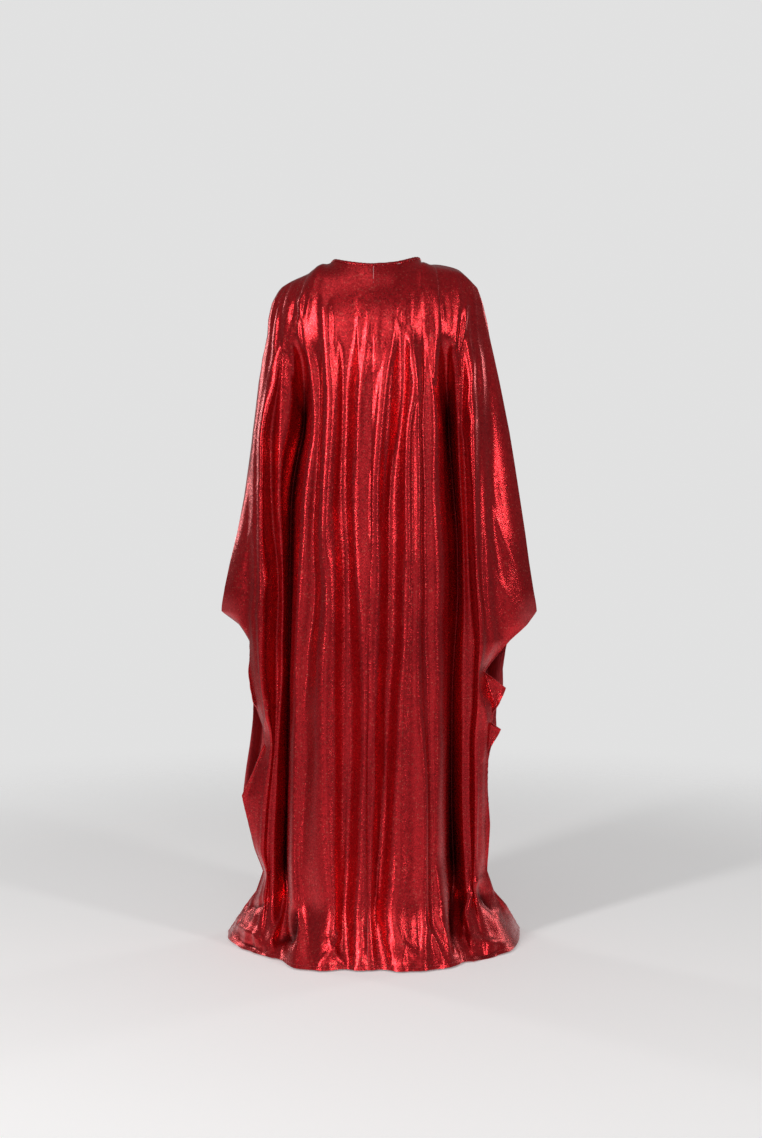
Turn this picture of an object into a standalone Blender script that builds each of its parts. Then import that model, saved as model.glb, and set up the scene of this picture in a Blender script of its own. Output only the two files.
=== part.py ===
"""Butterfly abaya: four cloth panels and a neck binding, hanging as they are worn.

Millimetres in the tables, metres in the scene. The front faces -Y and +Z is up.
The origin is the middle of the shoulder line, where the wearer holds the garment.
Heights in the tables are above the floor.
"""
from dataclasses import dataclass

import bpy
import numpy as np

MM = 0.001
ORIGIN_HEIGHT = 1470.0      # height of the shoulder line's middle above the floor
WALL = 1.5                  # cloth wall
SEAM_GAP = 0.3              # clear width between two pieces at a seam
NECK_HALF_WIDTH = 100.0
NECK_BACK_DEPTH = 74.0
NECK_FRONT_DEPTH = 86.0
NECK_BACK_HEIGHT = 1458.0
NECK_FRONT_HEIGHT = 1432.0
BINDING_DEPTH = 7.0
BINDING_THICKNESS = 3.0
HEM_HEIGHT = 3.0            # middle of the cloth where the hem lies on the floor
YOKE_ANGLES = (0.0, 24.0, 48.0, 70.0)   # degrees round the shoulder, from its seam
CLOTH_RED = (0.50, 0.02, 0.035)
BINDING_RED = (0.44, 0.018, 0.03)
METALLIC = 0.8
ROUGHNESS = 0.38


@dataclass(frozen=True)
class FoldLine:
    """One ridge or valley: its x and its y at each of HEIGHTS, then (x, y) at the hem."""

    name: str
    across: tuple
    depth: tuple
    hem: tuple


@dataclass(frozen=True)
class Panel:
    """One cut piece: its folds from the centre outwards, and where its outer edge runs."""

    name: str
    folds: tuple
    steps: tuple            # mesh columns between each fold line and the next
    side: int               # +1 wearer's left, -1 wearer's right
    face: int               # +1 back, -1 front
    neck_folds: int         # fold lines that start at the neckline
    hem_corner: tuple       # (x, y) of the outer corner at the floor


HEIGHTS = (1315, 1272, 1218, 1110, 1002, 894, 787, 724, 657, 593, 528, 446, 323, 205, 157, 108)

BACK_LEFT = (
    FoldLine("seam",
             (3, 4, 4, 6, 8, 8, 10, 10, 13, 13, 13, 15, 15, 15, 15, 15),
             (119, 126, 132, 136, 138, 142, 148, 150, 152, 155, 158, 162, 170, 185, 193, 203),
             (15, 250)),
    FoldLine("ridge_a",
             (19, 23, 29, 33, 35, 35, 31, 27, 25, 23, 23, 23, 27, 29, 32, 35),
             (120, 129, 135, 138, 138, 142, 151, 155, 158, 161, 165, 170, 180, 196, 204, 214),
             (34, 254)),
    FoldLine("valley_b",
             (56, 58, 61, 63, 67, 61, 57, 57, 57, 57, 57, 57, 59, 61, 63, 65),
             (110, 110, 110, 109, 110, 113, 116, 118, 120, 122, 125, 129, 138, 154, 164, 176),
             (64, 240)),
    FoldLine("ridge_c",
             (96, 93, 89, 91, 98, 102, 98, 98, 102, 105, 105, 105, 103, 96, 93, 90),
             (114, 124, 131, 136, 138, 142, 146, 149, 152, 155, 158, 163, 172, 188, 196, 206),
             (104, 256)),
    FoldLine("valley_d",
             (140, 125, 115, 115, 124, 131, 129, 133, 142, 146, 150, 148, 153, 159, 155, 152),
             (98, 98, 97, 95, 95, 97, 99, 100, 101, 103, 106, 110, 119, 134, 141, 150),
             (136, 245)),
    FoldLine("ridge_e",
             (157, 140, 130, 126, 141, 147, 154, 158, 162, 165, 165, 167, 169, 171, 169, 166),
             (94, 98, 101, 102, 104, 106, 108, 109, 110, 112, 114, 118, 128, 143, 152, 163),
             (162, 240)),
    FoldLine("side_ridge",
             (164, 150, 142, 145, 163, 169, 173, 176, 178, 180, 181, 182, 185, 187, 186, 185),
             (87, 80, 72, 64, 65, 66, 67, 68, 68, 70, 71, 74, 80, 89, 97, 111),
             (188, 192)),
    FoldLine("side_valley",
             (163, 150, 143, 140, 158, 164, 168, 170, 173, 174, 175, 176, 179, 181, 181, 180),
             (81, 65, 46, 29, 30, 30, 31, 31, 31, 32, 33, 34, 36, 41, 48, 65),
             (196, 172)),
    FoldLine("side_seam",
             (168, 158, 153, 154, 176, 181, 183, 183, 184, 184, 186, 187, 189, 192, 193, 193),
             (76, 52, 24, 0.9, 0.9, 0.9, 0.9, 0.9, 0.9, 0.9, 0.9, 0.9, 0.9, 0.9, 7, 27),
             (208, 160)),
    FoldLine("ridge_f",
             (181, 175, 177, 191, 204, 200, 197, 197, 199, 199, 202, 206, 213, 218, 218, 220),
             (70, 68, 62, 52, 48, 45, 43, 42, 42, 42, 42, 42, 44, 50, 57, 66),
             (224, 150)),
    FoldLine("valley_g",
             (192, 194, 201, 221, 222, 218, 208, 210, 213, 213, 213, 215, 225, 231, 229, 230),
             (58, 53, 46, 30, 27, 25, 24, 24, 24, 27, 32, 36, 34, 36, 42, 50),
             (238, 132)),
    FoldLine("ridge_h",
             (203, 207, 213, 238, 240, 241, 241, 242, 242, 241, 233, 221, 235, 242, 233, 238),
             (52, 58, 65, 76, 81, 84, 84, 83, 80, 74, 66, 48, 45, 46, 51, 58),
             (254, 120)),
    FoldLine("valley_i",
             (214, 220, 227, 248, 250, 251, 251, 254, 252, 248, 240, 226, 246, 249, 236, 245),
             (40, 42, 45, 54, 56, 56, 54, 54, 58, 60, 56, 42, 36, 38, 42, 46),
             (268, 100)),
    FoldLine("ridge_j",
             (223, 229, 236, 255, 258, 257, 257, 262, 259, 255, 247, 229, 257, 253, 238, 250),
             (29, 34, 40, 46, 54, 60, 62, 60, 52, 48, 44, 34, 28, 30, 32, 34),
             (286, 80)),
    FoldLine("valley_k",
             (227, 235, 243, 259, 266, 267, 267, 274, 265, 263, 254, 233, 269, 257, 240, 253),
             (20, 21, 23, 26, 30, 34, 37, 36, 38, 34, 32, 26, 20, 22, 22, 22),
             (301, 50)),
    FoldLine("ridge_l",
             (229, 238, 246, 260, 271, 280, 289, 298, 269, 269, 259, 236, 278, 260, 242, 256),
             (11, 13, 15, 18, 24, 30, 33, 30, 26, 22, 20, 18, 14, 14, 11, 8),
             (321, -2)),
)

BACK_RIGHT = (
    FoldLine("seam",
             (3, 4, 4, 6, 8, 8, 10, 10, 13, 13, 13, 15, 15, 15, 15, 15),
             (119, 126, 132, 136, 138, 142, 148, 150, 152, 155, 158, 162, 170, 185, 193, 203),
             (15, 250)),
    FoldLine("ridge_a",
             (-33, -27, -23, -15, -8, -8, -6, -4, -2, -2, 0, 3, 5, 6, 7, 7),
             (119, 128, 135, 140, 142, 146, 151, 152, 154, 156, 158, 160, 168, 183, 191, 201),
             (4, 251)),
    FoldLine("valley_b",
             (-56, -58, -60, -52, -38, -34, -34, -34, -32, -29, -27, -24, -17, -8, -5, -1),
             (110, 110, 111, 110, 112, 116, 118, 120, 121, 123, 126, 130, 138, 153, 163, 176),
             (-16, 242)),
    FoldLine("ridge_c",
             (-71, -77, -81, -71, -69, -69, -67, -65, -63, -59, -54, -52, -48, -46, -43, -40),
             (114, 126, 135, 139, 141, 145, 149, 151, 154, 157, 160, 165, 174, 190, 199, 209),
             (-54, 264)),
    FoldLine("valley_d",
             (-79, -84, -89, -79, -79, -81, -79, -79, -77, -78, -78, -78, -80, -80, -78, -75),
             (112, 121, 128, 130, 132, 135, 139, 141, 143, 145, 148, 152, 160, 175, 184, 194),
             (-74, 256)),
    FoldLine("ridge_e",
             (-90, -93, -97, -88, -91, -92, -94, -92, -90, -90, -92, -98, -103, -103, -102, -102),
             (108, 119, 128, 133, 136, 140, 144, 146, 148, 151, 154, 159, 168, 184, 193, 203),
             (-98, 257)),
    FoldLine("valley_f",
             (-109, -106, -104, -100, -105, -105, -107, -107, -109, -111, -112, -114, -118, -118, -120, -122),
             (98, 102, 105, 107, 109, 112, 115, 117, 119, 121, 124, 128, 137, 151, 160, 171),
             (-126, 242)),
    FoldLine("ridge_g",
             (-123, -121, -119, -121, -119, -124, -128, -126, -128, -130, -130, -131, -129, -128, -134, -139),
             (98, 105, 110, 114, 116, 119, 122, 124, 126, 128, 131, 135, 144, 158, 167, 178),
             (-152, 232)),
    FoldLine("side_ridge",
             (-137, -137, -137, -144, -147, -154, -157, -155, -155, -154, -153, -153, -152, -153, -157, -161),
             (90, 85, 77, 71, 72, 74, 76, 77, 78, 80, 82, 84, 90, 98, 106, 121),
             (-178, 202)),
    FoldLine("side_valley",
             (-137, -138, -139, -140, -144, -151, -154, -152, -151, -150, -149, -149, -148, -150, -153, -156),
             (84, 67, 47, 33, 33, 34, 35, 35, 36, 36, 37, 38, 41, 45, 52, 69),
             (-186, 186)),
    FoldLine("side_seam",
             (-149, -152, -155, -159, -167, -176, -179, -177, -173, -169, -167, -167, -167, -170, -172, -174),
             (78, 52, 22, 0.9, 0.9, 0.9, 0.9, 0.9, 0.9, 0.9, 0.9, 0.9, 0.9, 0.9, 7, 27),
             (-200, 180)),
    FoldLine("ridge_h",
             (-168, -170, -171, -176, -181, -188, -190, -191, -189, -187, -187, -187, -188, -192, -195, -198),
             (70, 68, 60, 48, 44, 40, 37, 36, 36, 36, 38, 40, 44, 50, 56, 64),
             (-212, 178)),
    FoldLine("valley_i",
             (-181, -182, -182, -189, -194, -199, -204, -208, -213, -211, -209, -202, -201, -205, -207, -210),
             (56, 53, 46, 35, 30, 28, 26, 26, 28, 31, 32, 34, 34, 38, 43, 50),
             (-228, 160)),
    FoldLine("ridge_j",
             (-194, -198, -202, -206, -209, -212, -218, -223, -225, -220, -220, -215, -217, -216, -214, -218),
             (52, 58, 65, 76, 81, 84, 84, 83, 78, 68, 62, 52, 50, 50, 55, 62),
             (-248, 150)),
    FoldLine("valley_k",
             (-205, -210, -216, -220, -221, -224, -228, -235, -239, -225, -231, -224, -224, -222, -223, -229),
             (40, 42, 45, 54, 56, 57, 55, 54, 56, 54, 52, 46, 42, 42, 46, 50),
             (-268, 124)),
    FoldLine("ridge_l",
             (-215, -223, -228, -230, -232, -236, -240, -245, -252, -228, -240, -232, -231, -229, -228, -238),
             (30, 35, 41, 48, 55, 60, 62, 60, 50, 42, 42, 38, 34, 34, 36, 38),
             (-288, 104)),
    FoldLine("valley_m",
             (-225, -232, -238, -247, -250, -254, -259, -263, -266, -232, -250, -239, -237, -236, -234, -247),
             (19, 20, 23, 27, 31, 35, 37, 36, 34, 30, 32, 28, 24, 24, 24, 24),
             (-302, 68)),
    FoldLine("ridge_n",
             (-234, -241, -249, -265, -275, -286, -295, -302, -280, -236, -259, -246, -243, -241, -240, -254),
             (11, 13, 16, 20, 26, 32, 34, 30, 20, 18, 20, 18, 14, 14, 11, 8),
             (-315, 0)),
)

FRONT_LEFT = (
    FoldLine("seam",
             (2, 2, 2, 2, 2, 2, 2, 2, 2, 2, 2, 2, 2, 2, 2, 2),
             (-112, -122, -130, -136, -138, -140, -142, -143, -144, -146, -148, -152, -160, -172, -179, -188),
             (2, -216)),
    FoldLine("valley_a",
             (42, 42, 44, 44, 46, 46, 49, 49, 51, 51, 51, 54, 54, 56, 56, 57),
             (-108, -112, -114, -113, -112, -113, -115, -116, -117, -119, -121, -125, -133, -146, -155, -165),
             (42, -196)),
    FoldLine("ridge_b",
             (83, 83, 84, 86, 86, 86, 89, 89, 89, 92, 92, 92, 95, 95, 96, 98),
             (-106, -118, -126, -131, -134, -137, -139, -140, -142, -144, -146, -150, -158, -170, -177, -186),
             (92, -222)),
    FoldLine("valley_c",
             (124, 120, 116, 116, 121, 125, 128, 130, 133, 135, 135, 136, 138, 141, 142, 142),
             (-96, -97, -97, -96, -96, -97, -98, -99, -100, -102, -104, -108, -116, -128, -135, -144),
             (136, -186)),
    FoldLine("ridge_d",
             (157, 146, 138, 134, 149, 154, 159, 161, 164, 166, 166, 169, 172, 175, 174, 174),
             (-92, -97, -100, -101, -103, -104, -105, -106, -107, -108, -110, -113, -122, -136, -143, -152),
             (172, -196)),
    FoldLine("side_ridge",
             (167, 156, 148, 150, 169, 174, 177, 179, 180, 182, 183, 184, 187, 190, 190, 190),
             (-84, -79, -70, -63, -64, -65, -65, -66, -67, -67, -68, -70, -76, -85, -87, -85),
             (192, -60)),
    FoldLine("side_valley",
             (166, 155, 147, 142, 161, 166, 170, 171, 172, 173, 175, 176, 179, 181, 182, 181),
             (-78, -63, -44, -29, -30, -30, -30, -30, -31, -31, -31, -32, -35, -39, -36, -24),
             (186, 20)),
    FoldLine("side_seam",
             (168, 158, 153, 154, 176, 181, 183, 183, 184, 184, 186, 187, 189, 192, 193, 193),
             (-72, -50, -22, -0.9, -0.9, -0.9, -0.9, -0.9, -0.9, -0.9, -0.9, -0.9, -0.9, -0.9, 5, 25),
             (208, 158)),
    FoldLine("ridge_e",
             (191, 189, 191, 204, 215, 211, 207, 207, 210, 210, 212, 215, 220, 223, 223, 226),
             (-68, -66, -61, -52, -50, -48, -46, -45, -44, -44, -44, -44, -46, -50, -55, -62),
             (234, 50)),
    FoldLine("valley_f",
             (203, 205, 212, 229, 231, 227, 223, 224, 226, 226, 227, 229, 234, 239, 233, 238),
             (-54, -50, -45, -33, -29, -27, -26, -26, -26, -28, -30, -32, -34, -36, -41, -48),
             (240, 20)),
    FoldLine("ridge_g",
             (216, 220, 227, 250, 255, 258, 258, 259, 252, 246, 244, 248, 257, 251, 239, 250),
             (-46, -51, -56, -66, -70, -72, -72, -70, -66, -62, -58, -54, -48, -46, -49, -52),
             (268, -60)),
    FoldLine("valley_h",
             (224, 232, 239, 259, 266, 271, 276, 277, 260, 256, 254, 258, 270, 257, 240, 253),
             (-30, -32, -34, -38, -40, -42, -42, -42, -44, -44, -42, -40, -34, -34, -35, -36),
             (284, -66)),
    FoldLine("ridge_i",
             (229, 240, 247, 263, 274, 286, 295, 302, 265, 263, 262, 266, 280, 260, 241, 254),
             (-14, -16, -18, -22, -28, -32, -34, -32, -28, -28, -28, -26, -20, -22, -21, -20),
             (306, -96)),
)

FRONT_RIGHT = (
    FoldLine("seam",
             (2, 2, 2, 2, 2, 2, 2, 2, 2, 2, 2, 2, 2, 2, 2, 2),
             (-112, -122, -130, -136, -138, -140, -142, -143, -144, -146, -148, -152, -160, -172, -179, -188),
             (2, -216)),
    FoldLine("valley_a",
             (-39, -39, -42, -42, -44, -44, -46, -47, -47, -49, -49, -51, -51, -54, -54, -54),
             (-108, -112, -114, -113, -112, -114, -116, -117, -118, -120, -122, -126, -134, -147, -156, -166),
             (-46, -194)),
    FoldLine("ridge_b",
             (-81, -81, -81, -82, -84, -84, -84, -87, -87, -87, -89, -90, -92, -93, -94, -95),
             (-106, -117, -125, -130, -133, -136, -138, -139, -141, -143, -145, -149, -157, -169, -176, -185),
             (-94, -220)),
    FoldLine("valley_c",
             (-116, -114, -111, -112, -114, -117, -119, -119, -122, -122, -122, -124, -125, -128, -128, -128),
             (-96, -98, -99, -98, -98, -99, -100, -101, -102, -104, -106, -110, -118, -130, -137, -146),
             (-128, -186)),
    FoldLine("ridge_d",
             (-139, -135, -133, -134, -141, -147, -150, -150, -148, -148, -146, -147, -147, -150, -152, -153),
             (-92, -97, -100, -101, -103, -104, -105, -106, -107, -108, -110, -113, -122, -136, -143, -152),
             (-160, -194)),
    FoldLine("side_ridge",
             (-148, -147, -146, -152, -160, -168, -171, -170, -167, -165, -163, -163, -164, -167, -169, -170),
             (-84, -79, -70, -63, -64, -65, -65, -66, -67, -67, -68, -70, -76, -85, -87, -85),
             (-180, -60)),
    FoldLine("side_valley",
             (-147, -146, -146, -145, -153, -161, -163, -162, -159, -157, -155, -155, -156, -158, -160, -162),
             (-78, -63, -44, -29, -30, -30, -30, -30, -31, -31, -31, -32, -35, -39, -36, -24),
             (-176, 20)),
    FoldLine("side_seam",
             (-149, -152, -155, -159, -167, -176, -179, -177, -173, -169, -167, -167, -167, -170, -172, -174),
             (-72, -50, -22, -0.9, -0.9, -0.9, -0.9, -0.9, -0.9, -0.9, -0.9, -0.9, -0.9, -0.9, 5, 25),
             (-200, 178)),
    FoldLine("ridge_e",
             (-176, -178, -180, -186, -193, -200, -203, -203, -199, -197, -195, -195, -196, -198, -201, -204),
             (-68, -66, -61, -52, -50, -48, -46, -45, -44, -44, -44, -44, -46, -50, -55, -62),
             (-228, 70)),
    FoldLine("valley_f",
             (-192, -194, -197, -205, -212, -219, -223, -226, -215, -216, -214, -212, -208, -211, -211, -216),
             (-54, -50, -45, -33, -29, -27, -26, -26, -26, -28, -30, -32, -34, -36, -41, -48),
             (-234, 40)),
    FoldLine("ridge_g",
             (-207, -214, -219, -228, -238, -247, -254, -256, -243, -246, -239, -228, -222, -220, -221, -230),
             (-46, -51, -56, -66, -70, -72, -72, -70, -66, -62, -58, -54, -48, -46, -49, -52),
             (-262, -50)),
    FoldLine("valley_h",
             (-219, -226, -235, -249, -260, -271, -283, -288, -260, -256, -249, -236, -229, -227, -229, -242),
             (-30, -32, -34, -38, -40, -42, -42, -42, -44, -44, -42, -40, -34, -34, -35, -36),
             (-280, -66)),
    FoldLine("ridge_i",
             (-231, -238, -249, -267, -281, -295, -308, -315, -272, -266, -258, -244, -236, -234, -237, -250),
             (-14, -16, -18, -22, -28, -32, -34, -32, -28, -28, -28, -26, -20, -22, -21, -20),
             (-304, -110)),
)

EDGES = (
    (1315, 228, -244, 0.15, 228, -244, -0.15),
    (1267, 239, -255, 0.15, 239, -255, -0.15),
    (1218, 248, -266, 0.15, 248, -266, -0.15),
    (1110, 261, -288, 0.15, 261, -288, -0.15),
    (1045, 270, -299, 0.15, 270, -299, -0.15),
    (970, 281, -311, 0.15, 281, -311, -0.15),
    (894, 296, -323, 0.15, 296, -323, -0.15),
    (830, 312, -332, 0.15, 312, -332, -0.15),
    (774, 324, -341, 0.15, 324, -341, -0.15),
    (724, 331, -349, 0.15, 331, -349, -0.15),
    (696, 292, -328, 8, 290, -322, -8),
    (662, 267, -291, 16, 265, -288, -16),
    (595, 273, -236, 24, 272, -278, -24),
    (560, 268, -282, 26, 270, -279, -26),
    (526, 261, -268, 26, 265, -266, -26),
    (489, 231, -244, 25, 266, -264, -26),
    (470, 224, -272, 24, 268, -265, -26),
    (431, 243, -251, 20, 273, -251, -24),
    (381, 262, -240, 16, 281, -242, -22),
    (323, 289, -245, 12, 288, -245, -20),
    (259, 274, -250, 12, 273, -249, -20),
    (205, 261, -247, 12, 261, -245, -20),
    (157, 244, -244, 10, 242, -243, -22),
    (108, 260, -260, 2, 257, -257, -30),
    (65, 288, -292, -24, 286, -290, -60),
)

# (x, height) along the shoulder seam from the neck, then down the arm to the first of HEIGHTS.
SHOULDER = {
    1: ((100, 1474), (127, 1453), (175, 1429), (198, 1408)),
    -1: ((100, 1479), (118, 1470), (175, 1455), (202, 1431), (217, 1410)),
}
UPPER_ARM = {
    1: ((198, 1408), (210, 1388), (219, 1364), (226, 1339)),
    -1: ((217, 1410), (227, 1389), (234, 1365), (240, 1340)),
}

PANELS = (
    Panel("back_left", BACK_LEFT, (3, 3, 3, 3, 2, 2, 2, 2, 2, 2, 3, 2, 2, 2, 2, 2), 1, 1, 4, (326, -69)),
    Panel("back_right", BACK_RIGHT, (2, 2, 3, 2, 2, 3, 2, 2, 2, 2, 2, 2, 2, 2, 2, 2, 2, 2), -1, 1, 6, (-322, -96)),
    Panel("front_left", FRONT_LEFT, (3, 3, 3, 2, 2, 2, 2, 2, 2, 2, 2, 2, 2), 1, -1, 3, (322, -90)),
    Panel("front_right", FRONT_RIGHT, (3, 3, 3, 2, 2, 2, 2, 2, 2, 2, 2, 2, 2), -1, -1, 3, (-318, -112)),
)
UNDERARM_ROW = len(YOKE_ANGLES) + 4     # the first row of the side seam
TIP_ROW = len(YOKE_ANGLES) + 9      # the last row where front and back meet along the arm


def smooth(x_known, y_known, x_new):
    """Cubic through the known points that never overshoots them (x_known rising)."""
    x = np.asarray(x_known, float)
    y = np.asarray(y_known, float)
    step = np.diff(x)
    slope = np.diff(y) / step
    tangent = np.zeros_like(y)
    same = slope[:-1] * slope[1:] > 0
    first = 2 * step[1:] + step[:-1]
    last = step[1:] + 2 * step[:-1]
    inner = np.zeros(len(y) - 2)
    inner[same] = ((first + last)[same]
                   / (first[same] / slope[:-1][same] + last[same] / slope[1:][same]))
    tangent[1:-1] = inner
    tangent[0], tangent[-1] = slope[0], slope[-1]
    place = np.clip(np.searchsorted(x, x_new, side="right") - 1, 0, len(x) - 2)
    t = (np.asarray(x_new, float) - x[place]) / step[place]
    return ((1 + 2 * t) * (1 - t) ** 2 * y[place]
            + t * (1 - t) ** 2 * step[place] * tangent[place]
            + t * t * (3 - 2 * t) * y[place + 1]
            + t * t * (t - 1) * step[place] * tangent[place + 1])


def fold_points(panel):
    """Where each fold line and the edge pass each row: (rows, lines, 3), heights above the floor."""
    heights = np.array([row[0] for row in EDGES], float)
    lines = []
    for fold in panel.folds:
        across = smooth(HEIGHTS[::-1], fold.across[::-1], heights[::-1])[::-1]
        depth = smooth(HEIGHTS[::-1], fold.depth[::-1], heights[::-1])[::-1]
        low = heights < HEIGHTS[-1]
        share = (heights[low] / HEIGHTS[-1]) ** 0.8
        across[low] = fold.hem[0] + (fold.across[-1] - fold.hem[0]) * share
        depth[low] = fold.hem[1] + (fold.depth[-1] - fold.hem[1]) * share
        lines.append(np.stack([across, depth, heights], 1))
    column = {(1, 1): 1, (-1, 1): 2, (1, -1): 4, (-1, -1): 5}[panel.side, panel.face]
    depth_column = 3 if panel.face > 0 else 6
    lines.append(np.array([(row[column], row[depth_column], row[0]) for row in EDGES], float))
    body = np.stack(lines, 1)
    hem = [(*fold.hem, HEM_HEIGHT) for fold in panel.folds] + [(*panel.hem_corner, HEM_HEIGHT)]
    return np.concatenate([yoke_points(panel, body[0]), body, np.array([hem], float)])


def yoke_points(panel, below):
    """The rows from the neckline and the shoulder seam to the first of HEIGHTS."""
    shoulder = np.array(SHOULDER[panel.side], float)
    outward = np.abs(below[:, 0])
    last_neck = outward[panel.neck_folds]
    widths = np.linalg.norm(np.diff(below[panel.neck_folds:], axis=0), axis=1)
    shares = np.concatenate([[0.0], np.cumsum(widths)]) / widths.sum()  # along the shoulder seam
    rows = np.zeros((len(YOKE_ANGLES), len(below), 3))
    for place, (x, y, z) in enumerate(below):
        if place <= panel.neck_folds:
            turn = np.pi / 2 * min(1.0, (outward[place] - outward[0]) / (last_neck - outward[0]))
            depth = NECK_BACK_DEPTH if panel.face > 0 else NECK_FRONT_DEPTH
            middle = NECK_BACK_HEIGHT if panel.face > 0 else NECK_FRONT_HEIGHT
            start = [panel.side * NECK_HALF_WIDTH * np.sin(turn), panel.face * depth * np.cos(turn),
                     middle + (shoulder[0, 1] - middle) * np.sin(turn) ** 2]
            if place == 0:
                start[0] = below[0, 0]
        else:
            far = (shoulder[0, 0]
                   + shares[place - panel.neck_folds] * (shoulder[-1, 0] - shoulder[0, 0]))
            start = [panel.side * far, 0.0, smooth(shoulder[:, 0], shoulder[:, 1], far)]
        if place >= panel.neck_folds:
            start[1] = panel.face * SEAM_GAP / 2
        first = np.arcsin(min(0.95, abs(start[1] / y))) if abs(y) > 1 else 0.0
        for row, angle in enumerate(YOKE_ANGLES):
            if place == len(below) - 1:
                far, high = UPPER_ARM[panel.side][row]
                rows[row, place] = (panel.side * far, panel.face * SEAM_GAP / 2, high)
                continue
            turn = first + (np.pi / 2 - first) * np.radians(angle) / (np.pi / 2)
            reach = (np.sin(turn) - np.sin(first)) / (1 - np.sin(first))
            rows[row, place] = (start[0] + (x - start[0]) * reach,
                                start[1] + (y - start[1]) * reach,
                                z + (start[2] - z) * np.cos(turn) / np.cos(first))
    return rows


def spread(points, steps):
    """Each row's fold lines joined by a smooth curve, with the given mesh columns between them."""
    known = np.arange(len(steps) + 1)
    wanted = np.concatenate([[0.0]] + [i + np.arange(1, n + 1) / n for i, n in enumerate(steps)])
    return np.stack([np.stack([smooth(known, row[:, axis], wanted) for axis in range(3)], 1)
                     for row in points])


def unit(vectors):
    """The vectors at length 1."""
    return vectors / np.maximum(np.linalg.norm(vectors, axis=-1, keepdims=True), 1e-9)


def normals(grid, outward):
    """Outward normals of a grid, from the directions along its rows and its columns."""
    along = np.gradient(grid, axis=1)
    down = np.gradient(grid, axis=0)
    return unit(np.cross(along, down)) * outward


def panel_grids():
    """Name -> (grid, normals), the seams already sharing their normals."""
    grids, facing = {}, {}
    for panel in PANELS:
        grid = spread(fold_points(panel), panel.steps)
        grids[panel.name] = grid
        facing[panel.name] = normals(grid, panel.side * panel.face)
    for face in ("back", "front"):
        left, right = f"{face}_left", f"{face}_right"
        middle = (grids[left][:, 0] + grids[right][:, 0]) / 2
        shared = unit(facing[left][:, 0] + facing[right][:, 0])
        for name, sign in ((left, 1), (right, -1)):
            grids[name][:, 0] = middle + [sign * SEAM_GAP / 2, 0, 0]
            facing[name][:, 0] = shared
    for side in ("left", "right"):
        back, front = f"back_{side}", f"front_{side}"
        join_side_seam(grids, facing, back, front)
        shared = facing[back][:TIP_ROW + 1, -1] + facing[front][:TIP_ROW + 1, -1]
        shared[:, 1] = 0
        shared = unit(shared)
        shared[0] = shared[1]   # the shoulder seam and the arm line run the same way at their corner
        for name in (back, front):
            panel = next(item for item in PANELS if item.name == name)
            facing[name][:TIP_ROW + 1, -1] = shared
            first = sum(panel.steps[:panel.neck_folds])
            top = facing[name][0, first:].copy()
            top[:, 1] = 0
            facing[name][0, first:] = unit(top)
        panel_steps = {p.name: sum(p.steps[:p.neck_folds]) for p in PANELS}
        corner = unit(facing[back][0, panel_steps[back]] + facing[front][0, panel_steps[front]])
        facing[back][0, panel_steps[back]] = corner
        facing[front][0, panel_steps[front]] = corner
    return grids, facing


def join_side_seam(grids, facing, back, front):
    """Sets the two side seam columns a seam gap apart along one shared normal, below the underarm."""
    column = {panel.name: sum(panel.steps[:[fold.name for fold in panel.folds].index("side_seam")])
              for panel in PANELS}
    b, f = column[back], column[front]
    middle = (grids[back][UNDERARM_ROW:, b] + grids[front][UNDERARM_ROW:, f]) / 2
    shared = unit(facing[back][UNDERARM_ROW:, b] - facing[front][UNDERARM_ROW:, f])
    for name, at, sign in ((back, b, 1), (front, f, -1)):
        grids[name][UNDERARM_ROW:, at] = middle + sign * shared * (WALL + SEAM_GAP) / 2
        facing[name][UNDERARM_ROW:, at] = sign * shared


def foil(name, colour):
    """The plain metallic finish of one sub-part."""
    material = bpy.data.materials.new(name)
    material.use_nodes = True
    shader = material.node_tree.nodes["Principled BSDF"]
    shader.inputs["Base Color"].default_value = (*colour, 1.0)
    shader.inputs["Metallic"].default_value = METALLIC
    shader.inputs["Roughness"].default_value = ROUGHNESS
    return material


def add_solid(name, points, faces, colour):
    """Adds one sub-part to the scene, with its own material."""
    mesh = bpy.data.meshes.new(name)
    mesh.from_pydata([tuple(p) for p in points], [], faces)
    mesh.validate()
    mesh.update()
    mesh.materials.append(foil(f"{name}_foil", colour))
    solid = bpy.data.objects.new(name, mesh)
    bpy.context.scene.collection.objects.link(solid)
    return solid


def to_scene(points):
    """Table points, in millimetres above the floor, as metres from the origin."""
    return (points - [0, 0, ORIGIN_HEIGHT]) * MM


def cloth_solid(name, grid, facing, flip):
    """A closed wall round the grid: its two faces and the four narrow rims."""
    rows, columns = grid.shape[:2]
    outer = to_scene(grid + facing * WALL / 2).reshape(-1, 3)
    inner = to_scene(grid - facing * WALL / 2).reshape(-1, 3)
    at = np.arange(rows * columns).reshape(rows, columns)
    behind = at + rows * columns
    faces = []
    for r in range(rows - 1):
        for c in range(columns - 1):
            a, b, d, e = at[r, c], at[r, c + 1], at[r + 1, c + 1], at[r + 1, c]
            diagonal = np.linalg.norm(grid[r, c] - grid[r + 1, c + 1])
            other = np.linalg.norm(grid[r, c + 1] - grid[r + 1, c])
            if diagonal < other:
                pair = [(a, b, d), (a, d, e)]
            else:
                pair = [(a, b, e), (b, d, e)]
            shift = rows * columns
            faces += pair
            faces += [tuple(i + shift for i in reversed(tri)) for tri in pair]
    border = ([at[0, c] for c in range(columns)] + [at[r, -1] for r in range(1, rows)]
              + [at[-1, c] for c in range(columns - 2, -1, -1)]
              + [at[r, 0] for r in range(rows - 2, 0, -1)])
    for a, b in zip(border, border[1:] + border[:1]):
        faces.append((b, a, behind.flat[a]))
        faces.append((b, behind.flat[a], behind.flat[b]))
    if flip:
        faces = [tuple(reversed(face)) for face in faces]
    corners = [tuple(int(i) for i in face) for face in faces]
    add_solid(name, np.concatenate([outer, inner]), corners, CLOTH_RED)


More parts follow.
